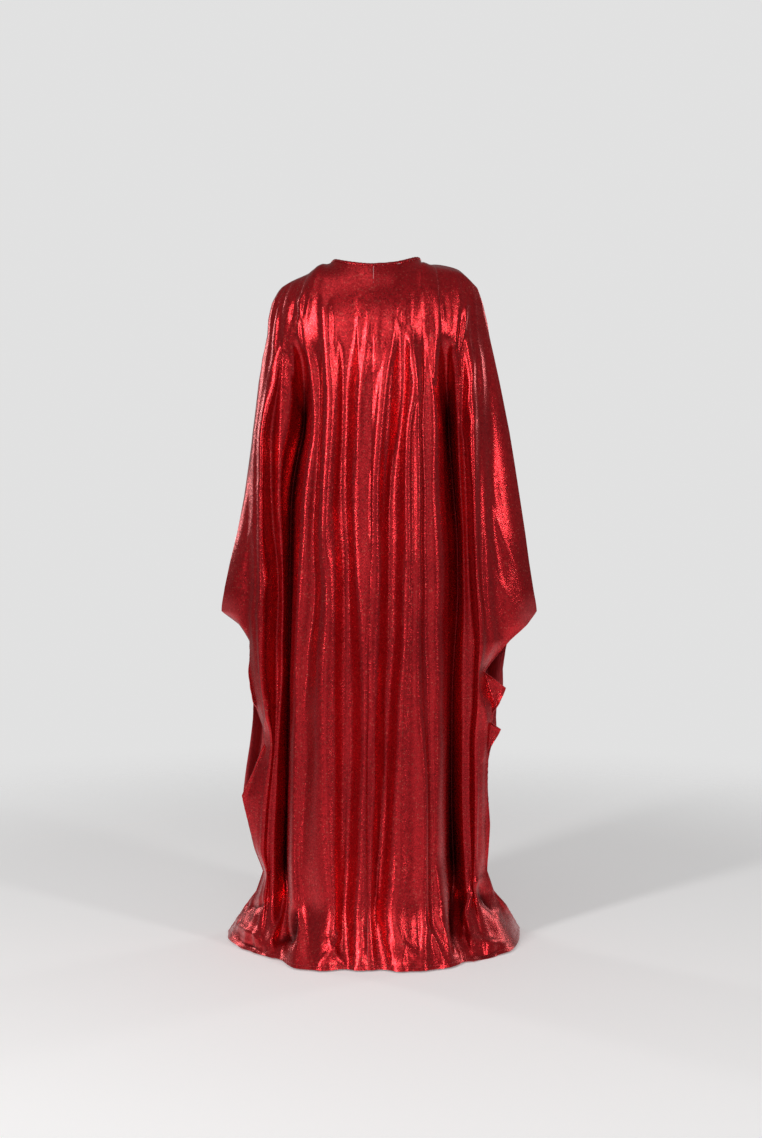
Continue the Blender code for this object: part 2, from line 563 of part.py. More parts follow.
def neckline(grids, facing):
    """The neck edge as one closed ring of points and the cloth's normal at each."""
    count = {panel.name: sum(panel.steps[:panel.neck_folds]) + 1 for panel in PANELS}
    points, out = [], []
    for name, forward in (("back_left", True), ("front_left", False), ("front_right", True),
                          ("back_right", False)):
        ring = grids[name][0, :count[name]]
        turn = facing[name][0, :count[name]]
        order = range(len(ring)) if forward else range(len(ring) - 1, -1, -1)
        chosen = list(order)[:-1]
        for i in chosen:
            points.append(ring[i])
            out.append(turn[i])
    points = np.array(points)
    start = 0
    for name, forward in (("back_left", True), ("front_left", False), ("front_right", True),
                          ("back_right", False)):
        if forward:
            points[start, 0] = grids[name][0, 0, 0] - SEAM_GAP / 2 * (1 if "left" in name else -1)
        else:
            points[start, 1] = 0.0
        start += count[name] - 1
    return points, np.array(out)


def neck_binding(grids, facing):
    """The narrow binding that stands on the neck edge, one ring."""
    points, out = neckline(grids, facing)
    along = unit(np.roll(points, -1, 0) - np.roll(points, 1, 0))
    rise = unit(np.cross(along, out))
    if (rise[:, 2]).mean() < 0:
        rise = -rise
    half = BINDING_THICKNESS / 2
    soft = 0.8
    section = ((SEAM_GAP, half - soft), (SEAM_GAP + soft, half), (BINDING_DEPTH - soft, half),
               (BINDING_DEPTH, half - soft), (BINDING_DEPTH, soft - half),
               (BINDING_DEPTH - soft, -half), (SEAM_GAP + soft, -half), (SEAM_GAP, soft - half))
    ring = np.stack([points + rise * a + out * b for a, b in section], 1)
    count = len(section)
    faces = []
    for i in range(len(points)):
        j = (i + 1) % len(points)
        for k in range(count):
            m = (k + 1) % count
            faces.append((i * count + k, j * count + k, j * count + m, i * count + m))
    vertices = to_scene(ring.reshape(-1, 3))
    corners = vertices[np.array(faces)]
    volume = sum(np.einsum("ij,ij->i", corners[:, 0], np.cross(corners[:, a], corners[:, a + 1])).sum()
                 for a in (1, 2))
    if volume < 0:
        faces = [tuple(reversed(face)) for face in faces]
    add_solid("neck_binding", vertices, faces, BINDING_RED)


def main():
    """Clears the scene and builds the garment."""
    for item in list(bpy.data.objects):
        bpy.data.objects.remove(item, do_unlink=True)
    grids, facing = panel_grids()
    for panel in PANELS:
        cloth_solid(panel.name, grids[panel.name], facing[panel.name], panel.side * panel.face < 0)
    neck_binding(grids, facing)


main()
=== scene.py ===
"""Butterfly abaya of deep red foil-printed cloth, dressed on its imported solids.

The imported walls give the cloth's main folds. Each panel is drawn over its wall as a thin
shell with finer creases, sewn hems and seams, and the neck edge is bound and stitched.
Places on the cloth are in millimetres: across from the middle, and height above the
floor. All else is in metres, in the frame's axes: the back faces +Y and +Z is up.
"""
from __future__ import annotations

import logging
import math
from dataclasses import dataclass
from enum import Enum

import bmesh
import bpy
import numpy as np
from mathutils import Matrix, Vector
from mathutils.kdtree import KDTree

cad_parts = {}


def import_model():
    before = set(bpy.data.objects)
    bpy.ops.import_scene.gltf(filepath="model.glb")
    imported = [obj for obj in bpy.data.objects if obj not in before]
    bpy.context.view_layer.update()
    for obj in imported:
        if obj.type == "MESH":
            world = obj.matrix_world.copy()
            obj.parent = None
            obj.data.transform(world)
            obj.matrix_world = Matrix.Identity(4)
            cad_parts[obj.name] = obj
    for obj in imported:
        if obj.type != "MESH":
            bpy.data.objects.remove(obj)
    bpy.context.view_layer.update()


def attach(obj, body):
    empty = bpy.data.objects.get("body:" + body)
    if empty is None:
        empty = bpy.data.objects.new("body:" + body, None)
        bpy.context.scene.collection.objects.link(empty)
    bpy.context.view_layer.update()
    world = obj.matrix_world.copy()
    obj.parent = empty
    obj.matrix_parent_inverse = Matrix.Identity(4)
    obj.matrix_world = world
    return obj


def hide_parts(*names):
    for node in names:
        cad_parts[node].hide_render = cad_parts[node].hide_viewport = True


log = logging.getLogger("abaya")

MM = 0.001
FLOOR = -1.47                   # the floor, below the line between the shoulders
PACKED_WALL = 0.0015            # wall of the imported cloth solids
CLOTH_WALL = 0.0008             # wall of the drawn cloth
HEM_WALL = 0.0016               # the same at a turned hem
HEM_WIDTH = 0.010
STITCH_INSET = 0.008            # from the hem's edge to its row of stitches


class Face(Enum):
    """Which way a panel faces, as the sign of its outward Y."""

    BACK = 1
    FRONT = -1


class Side(Enum):
    """The wearer's side, as the sign of its X."""

    LEFT = 1
    RIGHT = -1


def unit(vectors: np.ndarray) -> np.ndarray:
    """The vectors at length 1."""
    return vectors / np.maximum(np.linalg.norm(vectors, axis=-1, keepdims=True), 1e-12)


def ease(values: np.ndarray, start: float, end: float) -> np.ndarray:
    """0 at start and before, 1 at end and after, with a soft turn between them."""
    t = np.clip((values - start) / (end - start), 0, 1)
    return t * t * (3 - 2 * t)


def eased_corners(points: np.ndarray) -> np.ndarray:
    """The points with the neck's corners lowered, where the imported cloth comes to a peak.

    Args:
        points: Points of the cloth or the binding.

    Returns:
        The same points, a few millimetres lower near the two corners.
    """
    moved = points.copy()
    for side in Side:
        away = np.linalg.norm(points - [side.value * 0.100, 0.0, 0.008], axis=-1)
        moved[..., 2] -= 0.0120 * np.exp(-(away / 0.022) ** 2)
    return moved


@dataclass(frozen=True)
class Crease:
    """A ridge drawn over the cloth through points (across, height), or a trough if its lift is negative."""

    points: tuple[tuple[float, float], ...]
    width: float
    lift: float
    sharp: float = 1.6

    def line(self) -> np.ndarray:
        """The crease's centre as a smooth line.

        Returns:
            Points (across, height) in millimetres, eight for each stretch.
        """
        known = np.array(self.points, float)
        if len(known) < 3:
            return known
        count = len(known)
        t = np.linspace(0, count - 1, (count - 1) * 8 + 1)
        place = np.clip(t.astype(int), 0, count - 2)
        share = (t - place)[:, None]
        slope = np.gradient(known, axis=0)
        a, b, m, n = known[place], known[place + 1], slope[place], slope[place + 1]
        return ((1 + 2 * share) * (1 - share) ** 2 * a + share * (1 - share) ** 2 * m
                + share ** 2 * (3 - 2 * share) * b + share ** 2 * (share - 1) * n)

    @property
    def takes_painted_shade(self) -> bool:
        """Whether it is a trough that hardly any light gets into, which is darkened with painted shade."""
        return self.lift < -5.5

    def raised(self, across: np.ndarray, height: np.ndarray) -> np.ndarray:
        """How far the crease lifts the cloth.

        Args:
            across: Each point's place across, in millimetres.
            height: Each point's height above the floor, in millimetres.

        Returns:
            The lift along the cloth's normal, in millimetres.
        """
        line = self.line()
        reach = 3.2 * self.width
        low, high = line.min(0) - reach, line.max(0) + reach
        near = (across > low[0]) & (across < high[0]) & (height > low[1]) & (height < high[1])
        lifted = np.zeros_like(across)
        if not near.any():
            return lifted
        spot = np.stack([across[near], height[near]], 1)
        best = np.full(len(spot), 1e9)
        along = np.zeros(len(spot))
        lengths = np.linalg.norm(np.diff(line, axis=0), axis=1)
        run = np.concatenate([[0.0], np.cumsum(lengths)])
        for start, end, before, length in zip(line[:-1], line[1:], run, lengths):
            t = np.clip(((spot - start) @ (end - start)) / length ** 2, 0, 1)
            away = np.linalg.norm(spot - start - t[:, None] * (end - start), axis=1)
            closer = away < best
            best[closer] = away[closer]
            along[closer] = before + t[closer] * length
        taper = np.sin(np.pi * np.clip(along / run[-1], 0, 1)) ** 0.6
        lifted[near] = self.lift * taper * np.exp(-(best / self.width) ** self.sharp)
        return lifted


BACK_CREASES = (
    Crease(((36, 1352), (34, 1292), (33, 1220)), 4, 2.4),
    Crease(((10, 1374), (19, 1282), (28, 1215), (33, 1130), (35, 1010)), 6, 3.2),
    Crease(((-9, 1376), (-4, 1307), (-6, 1232)), 4, 2.8),
    Crease(((-2, 1360), (2, 1322), (0, 1290)), 3, 1.6),
    Crease(((-38, 1346), (-30, 1280), (-20, 1228), (-12, 1149), (-6, 1085), (0, 985), (0, 820)), 9, 6.5, 2.6),
    Crease(((-49, 1346), (-44, 1280), (-36, 1232), (-31, 1160), (-28, 1090), (-22, 985), (-17, 800)), 4, 2.0),
    Crease(((-79, 1335), (-70, 1185), (-66, 1004), (-68, 830)), 6, 5.0),
    Crease(((-79, 1335), (-88, 1185), (-91, 1004), (-90, 800)), 6, 5.0),
    Crease(((-52, 1366), (-55, 1330)), 3, 1.5),
    Crease(((-62, 1360), (-65, 1326)), 3, 1.5),
    Crease(((-44, 1372), (-46, 1350)), 3, 1.2),
    Crease(((-112, 1318), (-120, 1240), (-139, 1160)), 5, -3.0),
    Crease(((-139, 1394), (-145, 1342)), 4, 2.6),
    Crease(((-176, 1384), (-172, 1334), (-163, 1262), (-156, 1190)), 5, 3.4),
    Crease(((-193, 1386), (-189, 1330), (-177, 1280)), 4, 3.2),
    Crease(((-182, 1372), (-180, 1320), (-172, 1270)), 4, -3.0),
    Crease(((-205, 1298), (-209, 1261), (-198, 1179), (-190, 1125), (-200, 1085), (-204, 990)), 6, 4.0),
    Crease(((-211, 1140), (-200, 1096)), 5, 2.8),
    Crease(((-172, 1270), (-182, 1205), (-185, 1150)), 6, 2.0),
    Crease(((104, 1392), (101, 1330), (100, 1262), (102, 1150), (108, 1000), (110, 820)), 10, 8.0, 2.4),
    Crease(((79, 1330), (76, 1230), (78, 1090), (86, 960)), 4, 1.8),
    Crease(((203, 1368), (211, 1318), (214, 1268)), 4, 2.8),
    Crease(((178, 1384), (190, 1317), (194, 1254), (200, 1136), (203, 1004), (206, 900)), 6, 3.6),
    Crease(((156, 1398), (163, 1362)), 4, 2.6),
    Crease(((134, 1405), (143, 1345)), 4, 2.6),
    Crease(((146, 1400), (152, 1352)), 3, -2.4),
    Crease(((168, 1390), (176, 1340)), 4, -2.6),
    Crease(((162, 1378), (149, 1267), (143, 1190)), 6, -3.6),
    Crease(((187, 1285), (166, 1202), (153, 1140)), 6, -3.0),
    Crease(((192, 1300), (222, 1235), (236, 1120), (240, 985)), 7, 3.0),
    Crease(((-58, 1165), (-50, 1040), (-47, 930)), 7, 1.6),
    Crease(((52, 1130), (47, 980), (42, 800), (44, 640)), 7, 1.8),
    Crease(((118, 980), (112, 820), (118, 660), (121, 520)), 6, 2.0),
    Crease(((84, 820), (86, 640), (84, 420), (80, 260)), 7, 2.0),
    Crease(((12, 800), (6, 640), (2, 440), (-6, 220), (-10, 60)), 6, 2.2),
    Crease(((-20, 640), (-22, 480), (-24, 300), (-20, 150)), 5, -2.0),
    Crease(((-64, 700), (-58, 520), (-53, 320), (-55, 120)), 6, 2.2),
    Crease(((-104, 640), (-108, 430), (-106, 240), (-112, 80)), 6, 2.4),
    Crease(((-122, 560), (-124, 380), (-131, 200)), 6, 1.8),
    Crease(((56, 520), (62, 330), (70, 150), (72, 40)), 6, 2.2),
    Crease(((146, 700), (150, 480), (156, 260), (150, 90)), 6, 2.0),
    Crease(((72, 85), (86, 44), (122, 12)), 5, 3.6),
    Crease(((-48, 92), (-63, 50), (-108, 14)), 5, 3.4),
    Crease(((-63, 52), (-56, 12)), 4, 2.6),
    Crease(((-20, 70), (-36, 34), (-30, 8)), 5, 2.2),
    Crease(((30, 96), (24, 48), (36, 10)), 5, 2.2),
    Crease(((-128, 110), (-150, 62), (-158, 20)), 5, 2.8),
    Crease(((-218, 150), (-196, 84), (-184, 36)), 7, 8.0),
    Crease(((-174, 150), (-168, 80), (-172, 18)), 8, -11.0),
    Crease(((-180, 40), (-226, 30), (-282, 18)), 6, 8.0),
    Crease(((-190, 12), (-232, 8), (-272, 6)), 5, -8.0),
    Crease(((-222, 138), (-240, 98), (-266, 66)), 9, -9.0),
    Crease(((-236, 170), (-256, 110), (-292, 62)), 6, 5.0),
    Crease(((166, 120), (178, 52), (216, 26)), 9, -12.0),
    Crease(((206, 150), (196, 88), (226, 24)), 7, 8.0),
    Crease(((226, 22), (262, 36), (306, 34)), 8, 8.0),
    Crease(((232, 8), (268, 12), (300, 10)), 5, -8.0),
    Crease(((228, 110), (258, 84), (290, 70)), 7, -6.0),
    Crease(((-92, 150), (-88, 90), (-92, 20)), 7, -6.0),
    Crease(((-104, 92), (-128, 48), (-146, 8)), 6, 5.0),
    Crease(((96, 70), (84, 34), (62, 8)), 6, 5.0),
    Crease(((104, 1396), (101, 1340), (99, 1300)), 13, 4.0, 4.0),
    Crease(((-214, 820), (-226, 700), (-222, 610)), 6, 3.0),
    Crease(((-240, 900), (-262, 800), (-300, 735)), 7, 3.2),
    Crease(((-236, 1020), (-268, 900), (-318, 792)), 7, 2.6),
    Crease(((216, 900), (232, 790), (258, 700)), 7, 3.0),
    Crease(((246, 1010), (268, 880), (306, 770)), 7, 2.8),
    Crease(((222, 560), (236, 470), (226, 400)), 6, 2.8),
    Crease(((-226, 560), (-240, 480), (-232, 400)), 6, 2.8),
)

FRONT_CREASES = (
    Crease(((22, 1352), (20, 1240), (26, 1060), (24, 820)), 5, 3.0),
    Crease(((48, 1366), (60, 1270), (78, 1120), (84, 940)), 6, 3.4),
    Crease(((92, 1340), (100, 1210), (108, 1040), (110, 860)), 5, 2.8),
    Crease(((-16, 1356), (-24, 1220), (-22, 1020), (-28, 800)), 5, 3.2),
    Crease(((-52, 1360), (-66, 1250), (-80, 1090), (-84, 880)), 6, 3.2),
    Crease(((-96, 1346), (-104, 1200), (-112, 1010), (-112, 840)), 5, 2.8),
    Crease(((134, 1400), (142, 1340)), 4, 2.4),
    Crease(((160, 1392), (168, 1318)), 4, 2.8),
    Crease(((184, 1376), (194, 1280), (200, 1130), (204, 980)), 6, 3.4),
    Crease(((-146, 1400), (-150, 1336)), 4, 2.6),
    Crease(((-172, 1390), (-176, 1300), (-168, 1210)), 5, 3.0),
    Crease(((-196, 1372), (-200, 1270), (-204, 1120), (-206, 980)), 6, 3.4),
    Crease(((150, 1290), (140, 1200), (138, 1130)), 6, -3.0),
    Crease(((-140, 1290), (-134, 1210), (-130, 1120)), 6, -3.0),
    Crease(((10, 860), (14, 640), (8, 400), (14, 160)), 6, 2.4),
    Crease(((62, 900), (66, 680), (60, 430), (66, 200), (74, 50)), 6, 2.2),
    Crease(((112, 760), (118, 540), (114, 320), (122, 110)), 6, 2.4),
    Crease(((150, 640), (156, 420), (150, 200)), 6, 2.0),
    Crease(((-14, 780), (-10, 560), (-18, 330), (-12, 90)), 6, 2.2),
    Crease(((-62, 860), (-68, 620), (-60, 380), (-70, 130)), 6, 2.4),
    Crease(((-112, 760), (-106, 520), (-114, 300), (-108, 90)), 6, 2.2),
    Crease(((-144, 600), (-138, 400), (-146, 180)), 6, 2.0),
    Crease(((52, 96), (66, 48), (104, 12)), 5, 3.2),
    Crease(((-40, 90), (-58, 46), (-92, 12)), 5, 3.2),
    Crease(((20, 70), (12, 30), (22, 8)), 5, 2.2),
    Crease(((-124, 110), (-140, 58), (-150, 16)), 5, 2.6),
    Crease(((150, 118), (170, 60), (176, 16)), 5, 2.6),
    Crease(((236, 1020), (262, 890), (304, 776)), 7, 2.8),
    Crease(((214, 880), (230, 770), (250, 690)), 7, 2.8),
    Crease(((-238, 1020), (-266, 900), (-314, 790)), 7, 2.8),
    Crease(((-216, 870), (-232, 760), (-256, 690)), 7, 2.8),
    Crease(((228, 540), (240, 450), (236, 360)), 6, 2.6),
    Crease(((-224, 540), (-238, 450), (-230, 360)), 6, 2.6),
)


@dataclass
class WallReader:
    """Reads a packed cloth wall back as the grid of points down its middle.

    The wall's triangles lie on a grid of rows and columns, so the number of edges from
    the centre seam is a point's column, and the number from the hem is its row.
    """

    node: str
    face: Face
    side: Side
    weld: float = 2e-5

    def grid(self) -> tuple[np.ndarray, np.ndarray]:
        """Finds each row and column.

        Returns:
            The wall's middle points and its outward directions, each (rows, columns, 3).
        """
        work = bmesh.new()
        work.from_mesh(bpy.data.objects[self.node].data)
        bmesh.ops.remove_doubles(work, verts=work.verts, dist=self.weld)
        work.normal_update()
        work.verts.index_update()
        work.verts.ensure_lookup_table()
        partner = self._partners(work)
        beside, border = self._outer_sheet(work, partner)
        column_start, hem = self._starts(work, border)
        column = self._steps(beside, column_start)
        below = self._steps(beside, hem)
        rows, columns = max(below.values()) + 1, max(column.values()) + 1
        middle = np.full((rows, columns, 3), np.nan)
        facing = np.zeros((rows, columns, 3))
        for index, step in column.items():
            outer, inner = (np.array(work.verts[i].co) for i in (index, partner[index]))
            place = rows - 1 - below[index], step
            middle[place] = (outer + inner) / 2
            facing[place] = outer - inner
        work.free()
        if np.isnan(middle).any():
            raise ValueError(f"{self.node} isn't a full grid of rows and columns")
        return middle, unit(facing)

    def _partners(self, work: bmesh.types.BMesh) -> list[int]:
        """For each point, the point straight through the wall from it.

        Args:
            work: The welded wall.

        Returns:
            The partner's index, by the point's index.
        """
        tree = KDTree(len(work.verts))
        for vert in work.verts:
            tree.insert(vert.co, vert.index)
        tree.balance()
        found = []
        for vert in work.verts:
            through = [(abs((co - vert.co).normalized().dot(vert.normal)), index)
                       for co, index, away in tree.find_range(vert.co, PACKED_WALL * 1.02)
                       if away > PACKED_WALL * 0.98]
            found.append(max(through)[1])
        return found

    def _outer_sheet(self, work: bmesh.types.BMesh, partner: list[int]
                     ) -> tuple[dict[int, set[int]], dict[int, set[int]]]:
        """The wall's outer side, without its rims.

        Args:
            work: The welded wall.
            partner: Each point's partner through the wall.

        Returns:
            Each outer point's neighbours, and each border point's neighbours on the border.
        """
        sheets = [face for face in work.faces
                  if not any(partner[a.index] == b.index for a in face.verts for b in face.verts)]
        links: dict[int, set[int]] = {}
        for face in sheets:
            for edge in face.edges:
                a, b = (vert.index for vert in edge.verts)
                links.setdefault(a, set()).add(b)
                links.setdefault(b, set()).add(a)
        first = next(iter(links))
        side = set(self._steps(links, {first}))
        lean = sum(face.normal.y * face.calc_area() for face in sheets if face.verts[0].index in side)
        if lean * self.face.value < 0:
            side = set(links) - side
        counts: dict[tuple[int, int], int] = {}
        for face in sheets:
            if face.verts[0].index in side:
                for edge in face.edges:
                    key = tuple(sorted(vert.index for vert in edge.verts))
                    counts[key] = counts.get(key, 0) + 1
        border: dict[int, set[int]] = {}
        for (a, b), count in counts.items():
            if count == 1:
                border.setdefault(a, set()).add(b)
                border.setdefault(b, set()).add(a)
        return {index: links[index] for index in side}, border

    def _starts(self, work: bmesh.types.BMesh, border: dict[int, set[int]]) -> tuple[set[int], set[int]]:
        """The border's centre seam and its hem.

        Args:
            work: The welded wall.
            border: Each border point's neighbours on the border.

        Returns:
            The points of the centre seam and those of the hem.
        """
        away = {index: self.side.value * work.verts[index].co.x for index in border}
        height = {index: work.verts[index].co.z for index in border}
        top = max(border, key=lambda i: height[i] - 4 * away[i])
        bottom = min(border, key=lambda i: height[i] + 4 * away[i])
        corner = max((i for i in border if height[i] < FLOOR + 0.01), key=away.get)
        loop, last = [top], None
        while len(loop) < len(border):
            onward = next(i for i in border[loop[-1]] if i != last)
            last = loop[-1]
            loop.append(onward)
        at_bottom, at_corner = loop.index(bottom), loop.index(corner)
        if at_corner < at_bottom:
            return {*loop[at_bottom:], top}, set(loop[at_corner:at_bottom + 1])
        return set(loop[:at_bottom + 1]), set(loop[at_bottom:at_corner + 1])

    @staticmethod
    def _steps(beside: dict[int, set[int]], start: set[int]) -> dict[int, int]:
        """The number of edges from the start to each point that can be reached."""
        steps = dict.fromkeys(start, 0)
        edge, count = set(start), 0
        while edge:
            count += 1
            edge = {far for near in edge for far in beside[near] if far not in steps}
            steps.update(dict.fromkeys(edge, count))
        return steps


def refined(values: np.ndarray, step: float, straight: np.ndarray | None = None) -> np.ndarray:
    """Adds rows to a grid along a smooth curve through the rows that it has.

    Args:
        values: Points, (rows, columns, 3) or with more numbers for each point.
        step: The largest mean distance between the new rows.
        straight: For each column, 0 to follow the curve and 1 to run straight between rows.

    Returns:
        The grid with its new rows, the old ones among them.
    """
    lengths = np.linalg.norm(np.diff(values[..., :3], axis=0), axis=2).mean(1)
    knots = np.concatenate([[0.0], np.cumsum(lengths)])
    span = np.diff(knots)[:, None, None]
    slope = np.diff(values, axis=0) / span
    tangent = np.concatenate([
        slope[:1], (slope[:-1] * span[1:] + slope[1:] * span[:-1]) / (span[1:] + span[:-1]), slope[-1:]])
    straight = np.zeros(values.shape[1]) if straight is None else straight
    mix = straight[None, :, None]
    rows = [values[:1]]
    for i, length in enumerate(lengths):
        count = max(1, math.ceil(length / step))
        t = (np.arange(1, count + 1) / count)[:, None, None]
        a, b = values[i], values[i + 1]
        curve = ((1 + 2 * t) * (1 - t) ** 2 * a + t * (1 - t) ** 2 * span[i] * tangent[i]
                 + t * t * (3 - 2 * t) * b + t * t * (t - 1) * span[i] * tangent[i + 1])
        rows.append(curve * (1 - mix) + (a + (b - a) * t) * mix)
    return np.concatenate(rows)


def shell(name: str, outer: np.ndarray, inner: np.ndarray, outward: int) -> bpy.types.Object:
    """A closed thin shell between two grids.

    Args:
        name: The piece's name.
        outer: The outer side's points, (rows, columns, 3).
        inner: The inner side's points.
        outward: +1 where along the rows, then down the columns, turns outwards, else -1.

    Returns:
        The piece, with its inner side and rims on the second material slot.
    """
    rows, columns = outer.shape[:2]
    at = np.arange(rows * columns).reshape(rows, columns)
    quads = np.stack([at[:-1, :-1], at[:-1, 1:], at[1:, 1:], at[1:, :-1]], -1).reshape(-1, 4)
    ring = np.concatenate([at[0, :-1], at[:-1, -1], at[-1, :0:-1], at[:0:-1, 0]])
    after = np.roll(ring, -1)
    behind = rows * columns
    rims = np.stack([after, ring, ring + behind, after + behind], -1)
    faces = np.concatenate([quads, quads[:, ::-1] + behind, rims])
    if outward < 0:
        faces = faces[:, ::-1]
    mesh = bpy.data.meshes.new(name)
    points = np.concatenate([outer.reshape(-1, 3), inner.reshape(-1, 3)])
    mesh.vertices.add(len(points))
    mesh.vertices.foreach_set("co", points.astype(np.float32).ravel())
    mesh.loops.add(faces.size)
    mesh.loops.foreach_set("vertex_index", faces.astype(np.int32).ravel())
    mesh.polygons.add(len(faces))
    mesh.polygons.foreach_set("loop_start", np.arange(0, faces.size, 4, dtype=np.int32))
    mesh.polygons.foreach_set("material_index", (np.arange(len(faces)) >= len(quads)).astype(np.int32))
    mesh.update(calc_edges=True)
    mesh.shade_smooth()
    ends = np.empty(len(mesh.edges) * 2, np.int32)
    mesh.edges.foreach_get("vertices", ends)
    on_ring = np.isin(ends.reshape(-1, 2) % behind, ring).all(1)
    mesh.edges.foreach_set("use_edge_sharp", on_ring)
    piece = bpy.data.objects.new(name, mesh)
    bpy.context.scene.collection.objects.link(piece)
    return piece


def give_uv(piece: bpy.types.Object, name: str, across: np.ndarray, down: np.ndarray) -> None:
    """Gives a shell a UV map from one value pair for each grid point, the same on both sides.

    Args:
        piece: The shell.
        name: The UV map's name.
        across: The first value at each grid point.
        down: The second value at each grid point.
    """
    pairs = np.stack([across.ravel(), down.ravel()], 1).astype(np.float32)
    corner = np.empty(len(piece.data.loops), np.int32)
    piece.data.loops.foreach_get("vertex_index", corner)
    layer = piece.data.uv_layers.new(name=name)
    layer.data.foreach_set("uv", pairs[corner % len(pairs)].ravel())


class NodeBoard:
    """Adds nodes to a tree and joins their sockets."""

    def __init__(self, tree: bpy.types.NodeTree) -> None:
        """Starts on a tree."""
        self.tree = tree

    def add(self, kind: str, inputs: dict | None = None, **settings: object) -> bpy.types.Node:
        """Adds one node.

        Args:
            kind: The node's type.
            inputs: Values or sockets for its inputs, by name or number.
            settings: Values for its properties.

        Returns:
            The node.
        """
        node = self.tree.nodes.new(kind)
        for name, value in settings.items():
            setattr(node, name, value)
        for key, value in (inputs or {}).items():
            if isinstance(value, bpy.types.NodeSocket):
                self.tree.links.new(value, node.inputs[key])
            else:
                node.inputs[key].default_value = value
        return node

    def math(self, operation: str, first: object, second: object = 0.0) -> bpy.types.NodeSocket:
        """The result of one Math node."""
        return self.add("ShaderNodeMath", {0: first, 1: second}, operation=operation).outputs[0]

    def span(self, value: object, low: float, high: float, to_low: float = 0.0,
             to_high: float = 1.0) -> bpy.types.NodeSocket:
        """A value carried softly from one span to another."""
        return self.add("ShaderNodeMapRange", {
            "Value": value, "From Min": low, "From Max": high, "To Min": to_low, "To Max": to_high,
        }, interpolation_type="SMOOTHSTEP").outputs["Result"]

    def mix(self, share: object, first: object, second: object) -> bpy.types.NodeSocket:
        """One colour turning into another as the share goes from 0 to 1."""
        node = self.add("ShaderNodeMix", {"Factor": share}, data_type="RGBA")
        for socket, value in ((node.inputs[6], first), (node.inputs[7], second)):
            if isinstance(value, bpy.types.NodeSocket):
                self.tree.links.new(value, socket)
            else:
                socket.default_value = (*value, 1.0)
        return node.outputs[2]


class FoilGrain:
    """The node group of crinkled foil print, which cloth and binding share."""

    NAME = "foil grain"

    @classmethod
    def group(cls) -> bpy.types.NodeTree:
        """Builds the group once.

        Returns:
            The group: worm-like grain, bright specks, dark flecks and the relief of all three.
        """
        found = bpy.data.node_groups.get(cls.NAME)
        if found:
            return found
        tree = bpy.data.node_groups.new(cls.NAME, "ShaderNodeTree")
        made = tree.interface
        made.new_socket("Place", in_out="INPUT", socket_type="NodeSocketVector")
        for name, value in (("Grain Scale", 120.0), ("Fleck Scale", 240.0)):
            made.new_socket(name, in_out="INPUT", socket_type="NodeSocketFloat").default_value = value
        for name in ("Grain", "Specks", "Flecks", "Relief"):
            made.new_socket(name, in_out="OUTPUT", socket_type="NodeSocketFloat")
        board = NodeBoard(tree)
        given = board.add("NodeGroupInput").outputs
        drift = board.add("ShaderNodeTexNoise", {
            "Vector": given["Place"], "Scale": 45.0, "Detail": 2.0}).outputs["Color"]
        shifted = board.add("ShaderNodeVectorMath", {0: drift, 1: (0.006, 0.006, 0.006)},
                            operation="MULTIPLY").outputs[0]
        place = board.add("ShaderNodeVectorMath", {0: given["Place"], 1: shifted}, operation="ADD").outputs[0]
        noise = board.add("ShaderNodeTexNoise", {
            "Vector": place, "Scale": given["Grain Scale"], "Detail": 2.5, "Roughness": 0.6}).outputs["Fac"]
        worm = board.span(board.math("ABSOLUTE", board.math("SUBTRACT", noise, 0.5)), 0.0, 0.085, 1.0, 0.0)
        cells = board.add("ShaderNodeTexVoronoi", {"Vector": place, "Scale": given["Fleck Scale"]})
        speck_seed = board.add("ShaderNodeSeparateColor", {"Color": cells.outputs["Color"]}).outputs
        disc = board.span(cells.outputs["Distance"], 0.25, 0.5, 1.0, 0.0)
        specks = board.math("MULTIPLY", disc, board.span(speck_seed[0], 0.72, 0.95))
        flecks = board.math("MULTIPLY", disc, board.span(speck_seed[1], 0.78, 0.9))
        relief = board.math("ADD", board.math("MULTIPLY", noise, 0.9), board.math("MULTIPLY", worm, 0.3))
        relief = board.math("ADD", relief, board.math("MULTIPLY", speck_seed[2], 0.25))
        board.add("NodeGroupOutput", {"Grain": worm, "Specks": specks, "Flecks": flecks, "Relief": relief})
        return tree


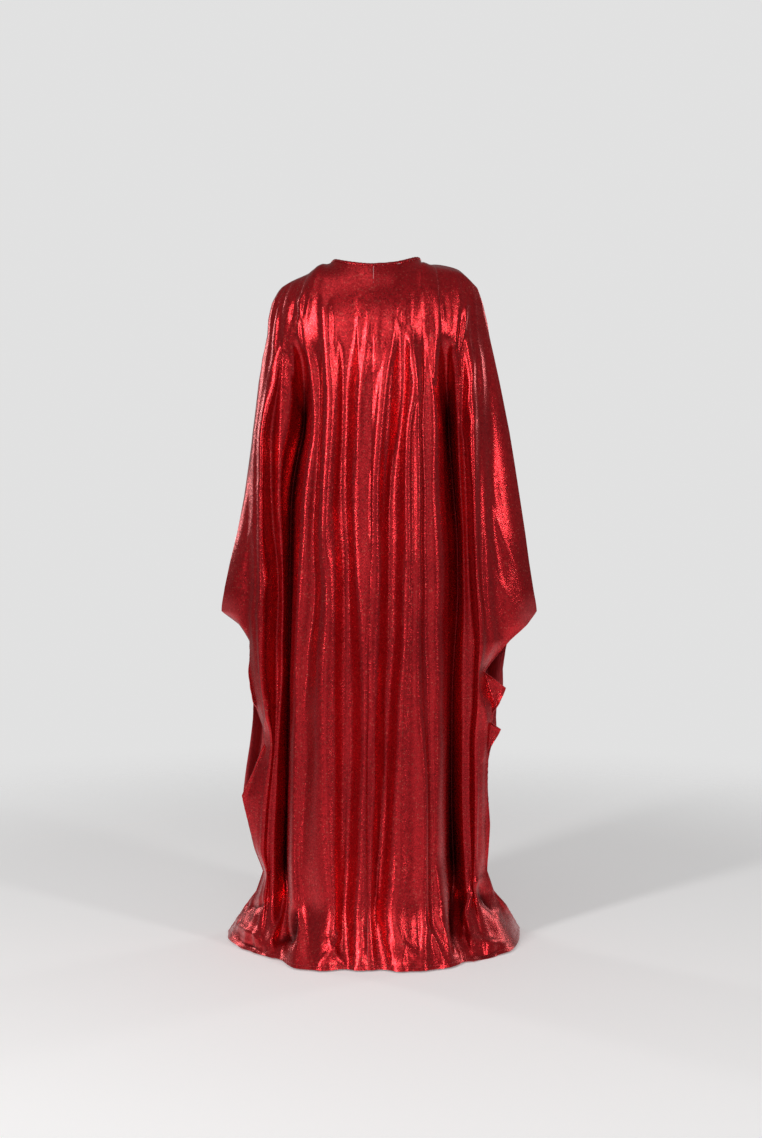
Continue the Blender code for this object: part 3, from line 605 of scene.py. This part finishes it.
@dataclass(frozen=True)
class FoilCloth:
    """Woven cloth with a crinkled metallic foil print, seen from its printed side."""

    name: str = "foil cloth"
    deep: tuple[float, float, float] = (0.36, 0.003, 0.008)
    bright: tuple[float, float, float] = (0.66, 0.014, 0.022)
    glint: tuple[float, float, float] = (0.98, 0.30, 0.22)
    # Painted shade: the near-black that the base colour turns to in deep folds and troughs, where hardly any
    # light gets in.
    painted_fold_shade: tuple[float, float, float] = (0.035, 0.001, 0.001)
    metal: float = 0.84
    rough_low: float = 0.18
    rough_high: float = 0.38
    relief: float = 0.20
    gloss: float = 0.22
    grain_scale: float = 120.0
    fleck_scale: float = 240.0
    # Whether the finish carries the panels' painted backlight at the wrist corners, painted shade in deep folds
    # and troughs, and the relief of the sewn lines.
    painted_light_shade_and_seams: bool = True

    def material(self) -> bpy.types.Material:
        """Builds the finish.

        Returns:
            The material.
        """
        made = bpy.data.materials.new(self.name)
        made.use_nodes = True
        made.node_tree.nodes.clear()
        board = NodeBoard(made.node_tree)
        place = board.add("ShaderNodeTexCoord").outputs["Object"]
        grain = board.add("ShaderNodeGroup", node_tree=FoilGrain.group())
        board.tree.links.new(place, grain.inputs["Place"])
        grain.inputs["Grain Scale"].default_value = self.grain_scale
        grain.inputs["Fleck Scale"].default_value = self.fleck_scale
        cloud = board.add("ShaderNodeTexNoise", {"Vector": place, "Scale": 7.0, "Detail": 3.0}).outputs["Fac"]
        tone = board.math("MULTIPLY_ADD", grain.outputs["Grain"], 0.55)
        tone.node.inputs[2].default_value = 0.10
        tone = board.math("ADD", tone, board.span(cloud, 0.3, 0.7, 0.0, 0.38))
        colour = board.mix(tone, self.deep, self.bright)
        colour = board.mix(board.math("MULTIPLY", grain.outputs["Specks"], 0.22), colour, self.glint)
        colour = board.mix(board.math("MULTIPLY", grain.outputs["Flecks"], 0.45), colour,
                           tuple(0.35 * value for value in self.deep))
        rough = board.span(grain.outputs["Relief"], 0.35, 0.95, self.rough_high, self.rough_low)
        metal, coat = self.metal, self.gloss
        if self.painted_light_shade_and_seams:
            # Painted backlight: near the wrist corner the base colour is lightened towards a lit red and made
            # less metallic, standing in for light that comes through the single layer.
            thin = board.add("ShaderNodeAttribute", attribute_name="thin").outputs["Fac"]
            colour = board.mix(board.math("MULTIPLY", thin, 0.35), colour, (0.55, 0.10, 0.11))
            metal = board.math("SUBTRACT", self.metal, board.math("MULTIPLY", thin, 0.35))
            # Painted shade: by the deep mask the base colour turns towards near-black in deep folds and
            # troughs, and the coat is turned down there.
            deep = board.add("ShaderNodeAttribute", attribute_name="deep").outputs["Fac"]
            colour = board.mix(board.math("MULTIPLY", deep, 0.92), colour, self.painted_fold_shade)
            coat = board.math("MULTIPLY", board.math("SUBTRACT", 1.0, deep), self.gloss)
        height = board.math("ADD", grain.outputs["Relief"], self._weave(board))
        if self.painted_light_shade_and_seams:
            height = board.math("ADD", height, self._sewn_lines(board))
        bump = board.add("ShaderNodeBump", {
            "Strength": self.relief, "Distance": 0.0012, "Height": height}).outputs[0]
        shader = board.add("ShaderNodeBsdfPrincipled", {
            "Base Color": colour, "Metallic": metal, "Roughness": rough, "Normal": bump,
            "Coat Weight": coat, "Coat Roughness": 0.2, "Coat Normal": bump, "IOR": 1.5})
        board.add("ShaderNodeOutputMaterial", {"Surface": shader.outputs[0]})
        return made

    @staticmethod
    def _weave(board: NodeBoard) -> bpy.types.NodeSocket:
        """The relief of the cloth's plain weave, along and across it."""
        way = board.add("ShaderNodeUVMap", uv_map="cloth").outputs[0]
        waves = [board.add("ShaderNodeTexWave", {"Vector": way, "Scale": 420.0, "Distortion": 0.4},
                           bands_direction=axis).outputs["Fac"] for axis in ("X", "Y")]
        return board.math("MULTIPLY", board.math("MAXIMUM", *waves), 0.12)

    @staticmethod
    def _sewn_lines(board: NodeBoard) -> bpy.types.NodeSocket:
        """The relief of the turned hem and of the seam, from each point's distance to them."""
        away = board.add("ShaderNodeUVMap", uv_map="edges").outputs[0]
        apart = board.add("ShaderNodeSeparateXYZ", {"Vector": away}).outputs
        hem = board.span(apart[0], HEM_WIDTH - 0.0006, HEM_WIDTH + 0.0008, 0.7, 0.0)
        row = board.span(board.math("ABSOLUTE", board.math("SUBTRACT", apart[0], STITCH_INSET)),
                         0.0, 0.0012, -0.5, 0.0)
        seam = board.span(apart[1], 0.0, 0.0016, -0.5, 0.0)
        return board.math("ADD", board.math("ADD", hem, row), seam)


@dataclass(frozen=True)
class ClothBack:
    """The cloth's unprinted side, as it shows at the rims and inside the garment."""

    name: str = "cloth back"
    colour: tuple[float, float, float] = (0.34, 0.010, 0.016)
    light: tuple[float, float, float] = (0.52, 0.030, 0.038)

    def material(self) -> bpy.types.Material:
        """Builds the finish.

        Returns:
            The material.
        """
        made = bpy.data.materials.new(self.name)
        made.use_nodes = True
        made.node_tree.nodes.clear()
        board = NodeBoard(made.node_tree)
        way = board.add("ShaderNodeUVMap", uv_map="cloth").outputs[0]
        waves = [board.add("ShaderNodeTexWave", {"Vector": way, "Scale": 420.0, "Distortion": 0.6},
                           bands_direction=axis).outputs["Fac"] for axis in ("X", "Y")]
        weave = board.math("MAXIMUM", *waves)
        colour = board.mix(weave, self.colour, self.light)
        bump = board.add("ShaderNodeBump", {
            "Strength": 0.4, "Distance": 0.0004, "Height": weave}).outputs[0]
        rough = board.span(weave, 0.0, 1.0, 0.62, 0.45)
        shader = board.add("ShaderNodeBsdfPrincipled", {
            "Base Color": colour, "Metallic": 0.25, "Roughness": rough, "Normal": bump})
        board.add("ShaderNodeOutputMaterial", {"Surface": shader.outputs[0]})
        return made


@dataclass(frozen=True)
class Thread:
    """Glossy red sewing thread, twisted from two plies."""

    name: str = "thread"
    colour: tuple[float, float, float] = (0.50, 0.03, 0.045)
    dark: tuple[float, float, float] = (0.20, 0.008, 0.014)

    def material(self) -> bpy.types.Material:
        """Builds the finish.

        Returns:
            The material.
        """
        made = bpy.data.materials.new(self.name)
        made.use_nodes = True
        made.node_tree.nodes.clear()
        board = NodeBoard(made.node_tree)
        place = board.add("ShaderNodeTexCoord").outputs["Object"]
        ply = board.add("ShaderNodeTexNoise", {"Vector": place, "Scale": 1600.0, "Detail": 1.0}).outputs["Fac"]
        colour = board.mix(board.span(ply, 0.35, 0.65), self.dark, self.colour)
        bump = board.add("ShaderNodeBump", {"Strength": 0.4, "Distance": 0.0001, "Height": ply}).outputs[0]
        shader = board.add("ShaderNodeBsdfPrincipled", {
            "Base Color": colour, "Roughness": board.span(ply, 0.3, 0.7, 0.5, 0.32), "Normal": bump,
            "Sheen Weight": 0.2})
        board.add("ShaderNodeOutputMaterial", {"Surface": shader.outputs[0]})
        return made


@dataclass
class ClothPanel:
    """One cut piece of the garment: half the back or half the front, with its wing."""

    face: Face
    side: Side
    creases: tuple[Crease, ...]
    row_step: float = 0.0064
    column_step: float = 0.0031
    cut: tuple[float, float] = (0.92, 1.50)
    cut_area: float = 0.90
    yoke: tuple[float, float] = (1270.0, 1400.0)    # millimetres above the floor
    yoke_rounds: int = 220          # rounds of smoothing there
    fold_rounds: int = 18           # and on all folds
    fold_reach: int = 18            # columns
    painted_shade_depths: tuple[float, float] = (0.022, 0.042)       # recess depths, in metres, over which painted shade sets in on a fold

    @property
    def node(self) -> str:
        """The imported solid's name."""
        return f"{self.face.name.lower()}_{self.side.name.lower()}"

    def drape(self) -> None:
        """Works out the panel's middle surface, its outward directions and its measures."""
        middle, facing = WallReader(self.node, self.face, self.side).grid()
        share = np.linspace(0, 1, middle.shape[1])
        both = refined(np.concatenate([middle, facing], 2), self.row_step, ease(share, 0.62, 1.0) * 0.85)
        both = refined(both.swapaxes(0, 1), self.column_step).swapaxes(0, 1)
        self.middle, kept = eased_corners(both[..., :3]), unit(both[..., 3:])
        self._measure()
        self._smooth()
        self.recess = self._recess()
        free = self._free_to_move()
        self.middle = self.middle + kept * (self._relief() * free)[..., None] * MM
        own = self._own_facing()
        hold = (1 - ease(self.from_border, 0.002, 0.014))[..., None]
        self.facing = unit(own * (1 - hold) + kept * hold)

    def _measure(self) -> None:
        """Measures each point's way along the cloth and its distance to the edges."""
        across = np.linalg.norm(np.diff(self.middle, axis=1), axis=2)
        down = np.linalg.norm(np.diff(self.middle, axis=0), axis=2)
        self.across = np.pad(np.cumsum(across, axis=1), ((0, 0), (1, 0)))
        self.down = np.pad(np.cumsum(down, axis=0), ((1, 0), (0, 0)))
        to_side = self.across[:, -1:] - self.across
        to_floor = self.down[-1:] - self.down
        self.free_edge = np.abs(self.middle[:, -1, 1]) > 1.2 * MM
        open_side = np.where(self.free_edge[:, None], to_side, 1.0)
        self.to_hem = np.minimum(open_side, to_floor)
        to_arm = np.where(self.free_edge[:, None], 1.0, to_side)
        self.to_seam = np.minimum(self.across, to_arm)
        self.from_border = np.minimum(np.minimum(self.across, to_side), np.minimum(self.down, to_floor))

    def _smooth(self) -> None:
        """Rounds the folds, and pulls the cloth smooth where it lies on the shoulder blades."""
        height = (self.middle[..., 2] - FLOOR) / MM
        on_body = ease(height, self.yoke[0], self.yoke[1]) * ease(self.down, 0.0, 0.05)
        for rounds, share in ((self.fold_rounds, self._free_to_move()), (self.yoke_rounds, on_body * self._free_to_move())):
            depth = self.middle[..., 1].copy()
            for _ in range(rounds):
                depth[:, 1:-1] = (depth[:, :-2] + 2 * depth[:, 1:-1] + depth[:, 2:]) / 4
            self.middle[..., 1] += (depth - self.middle[..., 1]) * share

    def _recess(self) -> np.ndarray:
        """How deep each point lies between the folds on both sides of it, in metres."""
        out = self.face.value * self.middle[..., 1]
        crests = []
        for step in (1, -1):
            crest = out.copy()
            for shift in range(1, self.fold_reach):
                moved = np.roll(out, step * shift, axis=1)
                moved[:, :shift] = np.where(step > 0, out[:, :shift], moved[:, :shift])
                moved[:, -shift:] = np.where(step < 0, out[:, -shift:], moved[:, -shift:])
                crest = np.maximum(crest, moved)
            crests.append(crest)
        return np.minimum(*crests) - out

    def _free_to_move(self) -> np.ndarray:
        """0 where the front and back are held together or the neck is bound, 1 elsewhere."""
        apart = ease(np.abs(self.middle[..., 1]), 1.5 * MM, 11 * MM)
        return apart * ease(self.down, 0.0, 0.02)

    def _relief(self) -> np.ndarray:
        """The lift of the creases, the loose ripples and the puckered hem, in millimetres."""
        x, z = self.middle[..., 0] / MM, (self.middle[..., 2] - FLOOR) / MM
        lifted = sum(crease.raised(x, z) for crease in self.creases)
        # The painted shade mask: near 1 where the cloth lies deep between folds or in a deep trough, where the
        # base colour is darkened.
        troughs = sum(crease.raised(x, z) for crease in self.creases if crease.takes_painted_shade)
        self.deep = np.maximum(ease(self.recess, *self.painted_shade_depths), 0.8 * ease(-troughs, 3.0, 9.0))
        turn = 1.7 * self.side.value + 0.9 * self.face.value
        slow = np.sin(z / 310 + turn) + 0.6 * np.sin(z / 147 - 2 * turn)
        ripple = (np.sin(x / 7.3 + 1.4 * slow + turn) + 0.7 * np.sin(x / 4.4 - 1.1 * slow)
                  + 0.5 * np.sin(x / 11.9 + z / 96 + 2.2 * slow))
        worn = ease(z, 1400, 1000)
        shorter = np.sin(z / 23 + x / 17 + 2 * slow) * np.sin(x / 13 - z / 61 + turn)
        lifted = lifted + 0.10 * ripple * worn + 0.30 * shorter * worn
        pucker = np.exp(-(self.to_hem / 0.012) ** 2)
        lifted = lifted + 0.45 * pucker * np.sin((self.across + self.down) / 0.0026)
        return lifted - 0.25 * np.exp(-(self.across / 0.003) ** 2)

    def _own_facing(self) -> np.ndarray:
        """Outward directions of the finished surface."""
        turned = np.cross(np.gradient(self.middle, axis=1), np.gradient(self.middle, axis=0))
        return unit(turned) * self.face.value * self.side.value

    def build(self, printed: bpy.types.Material, back: bpy.types.Material) -> bpy.types.Object:
        """Makes the panel and puts it in its solid's place.

        Args:
            printed: The finish of the cloth's printed side.
            back: The finish of its other side.

        Returns:
            The panel.
        """
        wall = HEM_WALL + (CLOTH_WALL - HEM_WALL) * ease(self.to_hem, 0.6 * HEM_WIDTH, 1.1 * HEM_WIDTH)
        half = self.facing * wall[..., None] / 2
        piece = shell(f"{self.node}_cloth", self.middle + half, self.middle - half,
                      self.face.value * self.side.value)
        give_uv(piece, "cloth", self.across, self.down)
        give_uv(piece, "edges", self.to_hem, self.to_seam)
        self._mark(piece)
        piece.data.materials.append(printed)
        piece.data.materials.append(back)
        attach(piece, "root")
        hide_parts(self.node)
        return piece

    def _mark(self, piece: bpy.types.Object) -> None:
        """Marks the wrist corner, where one layer lets light through, for painted backlight, and the depth of
        the folds for painted shade.
        """
        tip = self.middle[np.flatnonzero(self.free_edge)[0], -1]
        near = 1 - ease(np.linalg.norm(self.middle - tip, axis=2), 0.012, 0.06)
        for name, values in (("thin", near), ("deep", self.deep)):
            mark = piece.data.attributes.new(name, "FLOAT", "POINT")
            mark.data.foreach_set("value", np.tile(values.ravel(), 2).astype(np.float32))

    def declare(self, piece: bpy.types.Object, sewn_on: list[bpy.types.Object]) -> None:
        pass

    def neck_edge(self) -> np.ndarray:
        """The points of the panel's neck edge, from the centre seam to the shoulder."""
        bound = np.abs(self.middle[0, :, 1]) > 1.0 * MM
        return self.middle[0, :int(np.argmin(bound)) + 1]

    def stitch_lines(self) -> list[np.ndarray]:
        """The rows of stitches on the panel's outer face.

        Returns:
            One line along the wing's free edge and one along the hem.
        """
        raised = self.middle + self.facing * HEM_WALL * 0.5
        first = int(np.flatnonzero(self.free_edge)[0]) + 1
        side = self._inset(raised[first:-1, ::-1], STITCH_INSET)
        hem = self._inset(raised[::-1, 1:-2].swapaxes(0, 1), STITCH_INSET)
        return [side, hem]

    @staticmethod
    def _inset(rows: np.ndarray, inset: float) -> np.ndarray:
        """The point of each row that lies a given way along it from its start.

        Args:
            rows: Rows of points, (rows, points, 3).
            inset: The way along.

        Returns:
            One point for each row.
        """
        line = []
        for row in rows:
            run = np.concatenate([[0.0], np.cumsum(np.linalg.norm(np.diff(row, axis=0), axis=1))])
            line.append([np.interp(inset, run, row[:, axis]) for axis in range(3)])
        return np.array(line)


@dataclass
class Stitching:
    """Rows of lockstitches that Geometry Nodes lay along lines."""

    pitch: float = 0.0042
    length: float = 0.0031
    radius: float = 0.00032
    seed: int = 11

    def tree(self, thread: bpy.types.Material) -> bpy.types.NodeTree:
        """Builds the tree that turns lines into stitches.

        Args:
            thread: The finish of each stitch.

        Returns:
            The tree, with its sizes as named inputs.
        """
        tree = bpy.data.node_groups.new("rows of stitches", "GeometryNodeTree")
        made = tree.interface
        made.new_socket("Lines", in_out="INPUT", socket_type="NodeSocketGeometry")
        for name in ("Pitch", "Stitch Length", "Thread Radius"):
            made.new_socket(name, in_out="INPUT", socket_type="NodeSocketFloat")
        made.new_socket("Seed", in_out="INPUT", socket_type="NodeSocketInt")
        made.new_socket("Stitches", in_out="OUTPUT", socket_type="NodeSocketGeometry")
        board = NodeBoard(tree)
        given = board.add("NodeGroupInput").outputs
        curve = board.add("GeometryNodeMeshToCurve", {"Mesh": given["Lines"]}).outputs[0]
        spots = board.add("GeometryNodeCurveToPoints", {"Curve": curve, "Length": given["Pitch"]},
                          mode="LENGTH").outputs
        ball = board.add("GeometryNodeMeshUVSphere", {"Segments": 6, "Rings": 4, "Radius": 1.0}).outputs[0]
        smooth = board.add("GeometryNodeSetShadeSmooth", {"Geometry": ball}).outputs[0]
        half = board.math("MULTIPLY", given["Stitch Length"], 0.5)
        size = board.add("ShaderNodeCombineXYZ", {
            "X": given["Thread Radius"], "Y": given["Thread Radius"], "Z": half}).outputs[0]
        turn = board.add("FunctionNodeRandomValue", {
            0: (-0.07, -0.07, 0.0), 1: (0.07, 0.07, 0.0), "Seed": given["Seed"]}, data_type="FLOAT_VECTOR")
        tilt = board.add("FunctionNodeRotateRotation", {
            "Rotation": spots["Rotation"], "Rotate By": turn.outputs[0]}, rotation_space="LOCAL").outputs[0]
        laid = board.add("GeometryNodeInstanceOnPoints", {
            "Points": spots["Points"], "Instance": smooth, "Rotation": tilt, "Scale": size}).outputs[0]
        real = board.add("GeometryNodeRealizeInstances", {"Geometry": laid}).outputs[0]
        done = board.add("GeometryNodeSetMaterial", {"Geometry": real, "Material": thread}).outputs[0]
        board.add("NodeGroupOutput", {"Stitches": done})
        return tree

    def lay(self, name: str, lines: list[np.ndarray], tree: bpy.types.NodeTree
            ) -> bpy.types.Object:
        """Lays stitches along lines and keeps the result as one plain mesh.

        Args:
            name: The piece's name.
            lines: The rows, each a line of points.
            tree: The tree from tree().

        Returns:
            The piece.
        """
        points = np.concatenate(lines)
        starts = np.cumsum([0] + [len(line) for line in lines])
        edges = [(i, i + 1) for a, b in zip(starts[:-1], starts[1:]) for i in range(a, b - 1)]
        guide_mesh = bpy.data.meshes.new(f"{name}_lines")
        guide_mesh.from_pydata(points.tolist(), edges, [])
        guide = bpy.data.objects.new(f"{name}_lines", guide_mesh)
        bpy.context.scene.collection.objects.link(guide)
        modifier = guide.modifiers.new("stitches", "NODES")
        modifier.node_group = tree
        sizes = {"Pitch": self.pitch, "Stitch Length": self.length, "Thread Radius": self.radius,
                 "Seed": self.seed}
        for item in tree.interface.items_tree:
            if item.in_out == "INPUT" and item.name in sizes:
                modifier[item.identifier] = sizes[item.name]
        graph = bpy.context.evaluated_depsgraph_get()
        mesh = bpy.data.meshes.new_from_object(guide.evaluated_get(graph), depsgraph=graph)
        bpy.data.objects.remove(guide)
        piece = bpy.data.objects.new(name, mesh)
        bpy.context.scene.collection.objects.link(piece)
        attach(piece, "root")
        return piece


@dataclass
class NeckBinding:
    """The narrow bound edge round the neck, folded over and stitched through."""

    rounds: int = 2
    wrinkle: float = 0.00025
    node: str = "neck_binding"

    def build(self, finish: bpy.types.Material) -> bpy.types.Object:
        """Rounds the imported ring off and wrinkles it.

        Args:
            finish: The binding's finish.

        Returns:
            The binding.
        """
        work = bmesh.new()
        work.from_mesh(bpy.data.objects[self.node].data)
        bmesh.ops.remove_doubles(work, verts=work.verts, dist=2e-5)
        bmesh.ops.join_triangles(work, faces=work.faces, angle_face_threshold=0.6,
                                 angle_shape_threshold=3.1)
        mesh = bpy.data.meshes.new("neck_edge_binding")
        work.to_mesh(mesh)
        work.free()
        piece = bpy.data.objects.new("neck_edge_binding", mesh)
        bpy.context.scene.collection.objects.link(piece)
        rounding = piece.modifiers.new("rounding", "SUBSURF")
        rounding.levels = rounding.render_levels = self.rounds
        graph = bpy.context.evaluated_depsgraph_get()
        fine = bpy.data.meshes.new_from_object(piece.evaluated_get(graph), depsgraph=graph)
        piece.modifiers.clear()
        piece.data = fine
        self._wrinkle(fine)
        layer = fine.uv_layers.active or fine.uv_layers.new(name="cloth")
        layer.name = "cloth"
        self._map(fine, layer)
        fine.materials.clear()
        fine.materials.append(finish)
        fine.shade_smooth()
        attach(piece, "root")
        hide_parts(self.node)
        return piece

    def _wrinkle(self, mesh: bpy.types.Mesh) -> None:
        """Draws small slanting wrinkles round the ring."""
        points = np.empty(len(mesh.vertices) * 3, np.float32)
        mesh.vertices.foreach_get("co", points)
        points = points.reshape(-1, 3)
        normals = np.empty(len(mesh.vertices) * 3, np.float32)
        mesh.vertices.foreach_get("normal", normals)
        round_it = np.arctan2(points[:, 1], points[:, 0])
        wave = np.sin(round_it * 61 + points[:, 2] / 0.004) + 0.6 * np.sin(round_it * 97 - points[:, 2] / 0.007)
        points += normals.reshape(-1, 3) * (wave * self.wrinkle)[:, None]
        mesh.vertices.foreach_set("co", eased_corners(points).ravel())

    @staticmethod
    def _map(mesh: bpy.types.Mesh, layer: bpy.types.MeshUVLoopLayer) -> None:
        """Maps the ring by its way round and its height."""
        points = np.empty(len(mesh.vertices) * 3, np.float32)
        mesh.vertices.foreach_get("co", points)
        points = points.reshape(-1, 3)
        pairs = np.stack([np.arctan2(points[:, 1], points[:, 0]) * 0.09, points[:, 2]], 1)
        corner = np.empty(len(mesh.loops), np.int32)
        mesh.loops.foreach_get("vertex_index", corner)
        layer.data.foreach_set("uv", pairs[corner].astype(np.float32).ravel())

    def stitch_line(self, panels: dict[str, ClothPanel]) -> list[np.ndarray]:
        """The closed row of stitches round the binding's outer face.

        Args:
            panels: The cloth panels by their solids' names.

        Returns:
            The row, as one line.
        """
        order = ("back_left", "front_left", "front_right", "back_right")
        points, outward = [], []
        for place, name in enumerate(order):
            panel = panels[name]
            edge, facing = panel.neck_edge(), panel.facing[0, :len(panel.neck_edge())]
            if place % 2:
                edge, facing = edge[::-1], facing[::-1]
            points.append(edge[1:-1])
            outward.append(facing[1:-1])
        ring, out = np.concatenate(points), np.concatenate(outward)
        along = unit(np.roll(ring, -2, 0) - np.roll(ring, 2, 0))
        rise = unit(np.cross(along, out))
        rise *= np.sign(rise[:, 2:3].mean())
        ring = ring + rise * 0.0026 + out * 0.0016
        return [np.concatenate([ring, ring[:1]])]


@dataclass
class Studio:
    """The pale floor, the soft lights and the camera."""

    eye: tuple[float, float, float] = (-0.013, 4.5, -0.27)
    aim: tuple[float, float, float] = (-0.013, 0.0, -0.655)
    focal: float = 66.3
    sensor: float = 36.0
    ambient: float = 0.20
    lift: float = 0.20              # keeps the floor as pale as the backdrop
    paper: tuple[float, float, float] = (0.93, 0.94, 0.95)

    def build(self) -> None:
        """Sets the studio up."""
        self._camera()
        self._floor()
        self._world()
        self._soft_light("key", (2.4, 2.9, 0.8), (0.32, 2.0), 70.0)
        self._soft_light("side", (-2.8, 2.7, 0.6), (0.30, 1.8), 34.0)
        self._soft_light("behind", (0.0, 4.2, 0.9), (1.6, 1.0), 16.0)
        self._soft_light("top", (0.5, 1.4, 2.4), (1.4, 1.0), 5.0)
        self._soft_light("low", (0.2, 3.6, -0.9), (1.4, 0.6), 2.0)
        self._soft_light("front left", (3.0, -2.6, 0.4), (0.36, 1.9), 20.0)
        self._soft_light("front right", (-3.0, -2.3, 0.4), (0.5, 1.6), 14.0)
        bpy.context.scene.view_settings.view_transform = "Standard"

    def _camera(self) -> None:
        """Stands the camera behind the garment, as in the photograph."""
        data = bpy.data.cameras.new("camera")
        data.lens, data.sensor_width = self.focal, self.sensor
        camera = bpy.data.objects.new("camera", data)
        bpy.context.scene.collection.objects.link(camera)
        camera.location = self.eye
        way = Vector(self.aim) - Vector(self.eye)
        camera.rotation_euler = way.to_track_quat("-Z", "Y").to_euler()
        bpy.context.scene.camera = camera

    def _floor(self) -> None:
        """Lays a round pale floor that fades into the backdrop's colour."""
        work = bmesh.new()
        bmesh.ops.create_circle(work, cap_ends=True, segments=96, radius=7.0)
        bmesh.ops.translate(work, verts=work.verts, vec=(0, 0, FLOOR - 0.0005))
        mesh = bpy.data.meshes.new("floor")
        work.to_mesh(mesh)
        work.free()
        floor = bpy.data.objects.new("floor", mesh)
        bpy.context.scene.collection.objects.link(floor)
        made = bpy.data.materials.new("floor")
        made.use_nodes = True
        made.node_tree.nodes.clear()
        board = NodeBoard(made.node_tree)
        place = board.add("ShaderNodeTexCoord").outputs["Object"]
        flat = board.add("ShaderNodeVectorMath", {0: place, 1: (1, 1, 0)}, operation="MULTIPLY").outputs[0]
        away = board.add("ShaderNodeVectorMath", {0: flat}, operation="LENGTH").outputs["Value"]
        shader = board.add("ShaderNodeBsdfPrincipled", {
            "Base Color": (*self.paper, 1.0), "Roughness": 0.8,
            "Emission Color": (*self.paper, 1.0), "Emission Strength": self.lift,
            "Alpha": board.span(away, 1.1, 2.6, 1.0, 0.0)})
        board.add("ShaderNodeOutputMaterial", {"Surface": shader.outputs[0]})
        mesh.materials.append(made)

    def _world(self) -> None:
        """Shows the camera a pale backdrop, and lights the cloth with a dimmer room."""
        world = bpy.data.worlds.new("studio")
        bpy.context.scene.world = world
        world.use_nodes = True
        world.node_tree.nodes.clear()
        board = NodeBoard(world.node_tree)
        seen = board.add("ShaderNodeLightPath").outputs["Is Camera Ray"]
        room = board.add("ShaderNodeBackground", {"Color": (1.0, 0.97, 0.95, 1.0), "Strength": self.ambient})
        wall = board.add("ShaderNodeBackground", {"Color": (0.755, 0.755, 0.755, 1.0), "Strength": 1.0})
        both = board.add("ShaderNodeMixShader", {0: seen, 1: room.outputs[0], 2: wall.outputs[0]})
        board.add("ShaderNodeOutputWorld", {"Surface": both.outputs[0]})

    @staticmethod
    def _soft_light(name: str, place: tuple[float, float, float], size: tuple[float, float],
                    power: float) -> None:
        """Hangs a soft box that points at the garment's middle.

        Args:
            name: The light's name.
            place: Where it hangs.
            size: Its width and its height.
            power: Its power in watts.
        """
        data = bpy.data.lights.new(name, "AREA")
        data.shape = "RECTANGLE"
        data.size, data.size_y = size
        data.energy = power
        data.color = (1.0, 0.98, 0.965)
        light = bpy.data.objects.new(name, data)
        bpy.context.scene.collection.objects.link(light)
        light.visible_camera = False
        light.location = place
        light.rotation_euler = (Vector((0, 0, -0.55)) - Vector(place)).to_track_quat("-Z", "Y").to_euler()


def report(piece: bpy.types.Object) -> None:
    """Logs a finished piece and its number of triangles."""
    mesh = piece.data
    mesh.calc_loop_triangles()
    log.info("%s: %d triangles", piece.name, len(mesh.loop_triangles))


def main() -> None:
    """Builds the garment, then the studio."""
    logging.basicConfig(level=logging.INFO, format="%(name)s: %(message)s")
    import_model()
    printed, back, thread = FoilCloth().material(), ClothBack().material(), Thread().material()
    binding_finish = FoilCloth(name="binding cloth", grain_scale=150.0, relief=0.28,
                               painted_light_shade_and_seams=False).material()
    panels, pieces = {}, {}
    for face, creases in ((Face.BACK, BACK_CREASES), (Face.FRONT, FRONT_CREASES)):
        for side in Side:
            panel = ClothPanel(face, side, creases)
            panel.drape()
            panels[panel.node] = panel
            pieces[panel.node] = panel.build(printed, back)
            report(pieces[panel.node])
    binding = NeckBinding()
    report(binding.build(binding_finish))
    stitching = Stitching()
    rows = stitching.tree(thread)
    for name, panel in panels.items():
        sewn = stitching.lay(f"{name}_stitches", panel.stitch_lines(), rows)
        report(sewn)
        panel.declare(pieces[name], [sewn])
    report(stitching.lay("neck_stitches", binding.stitch_line(panels), rows))
    Studio().build()


if __name__ == "__main__":
    main()
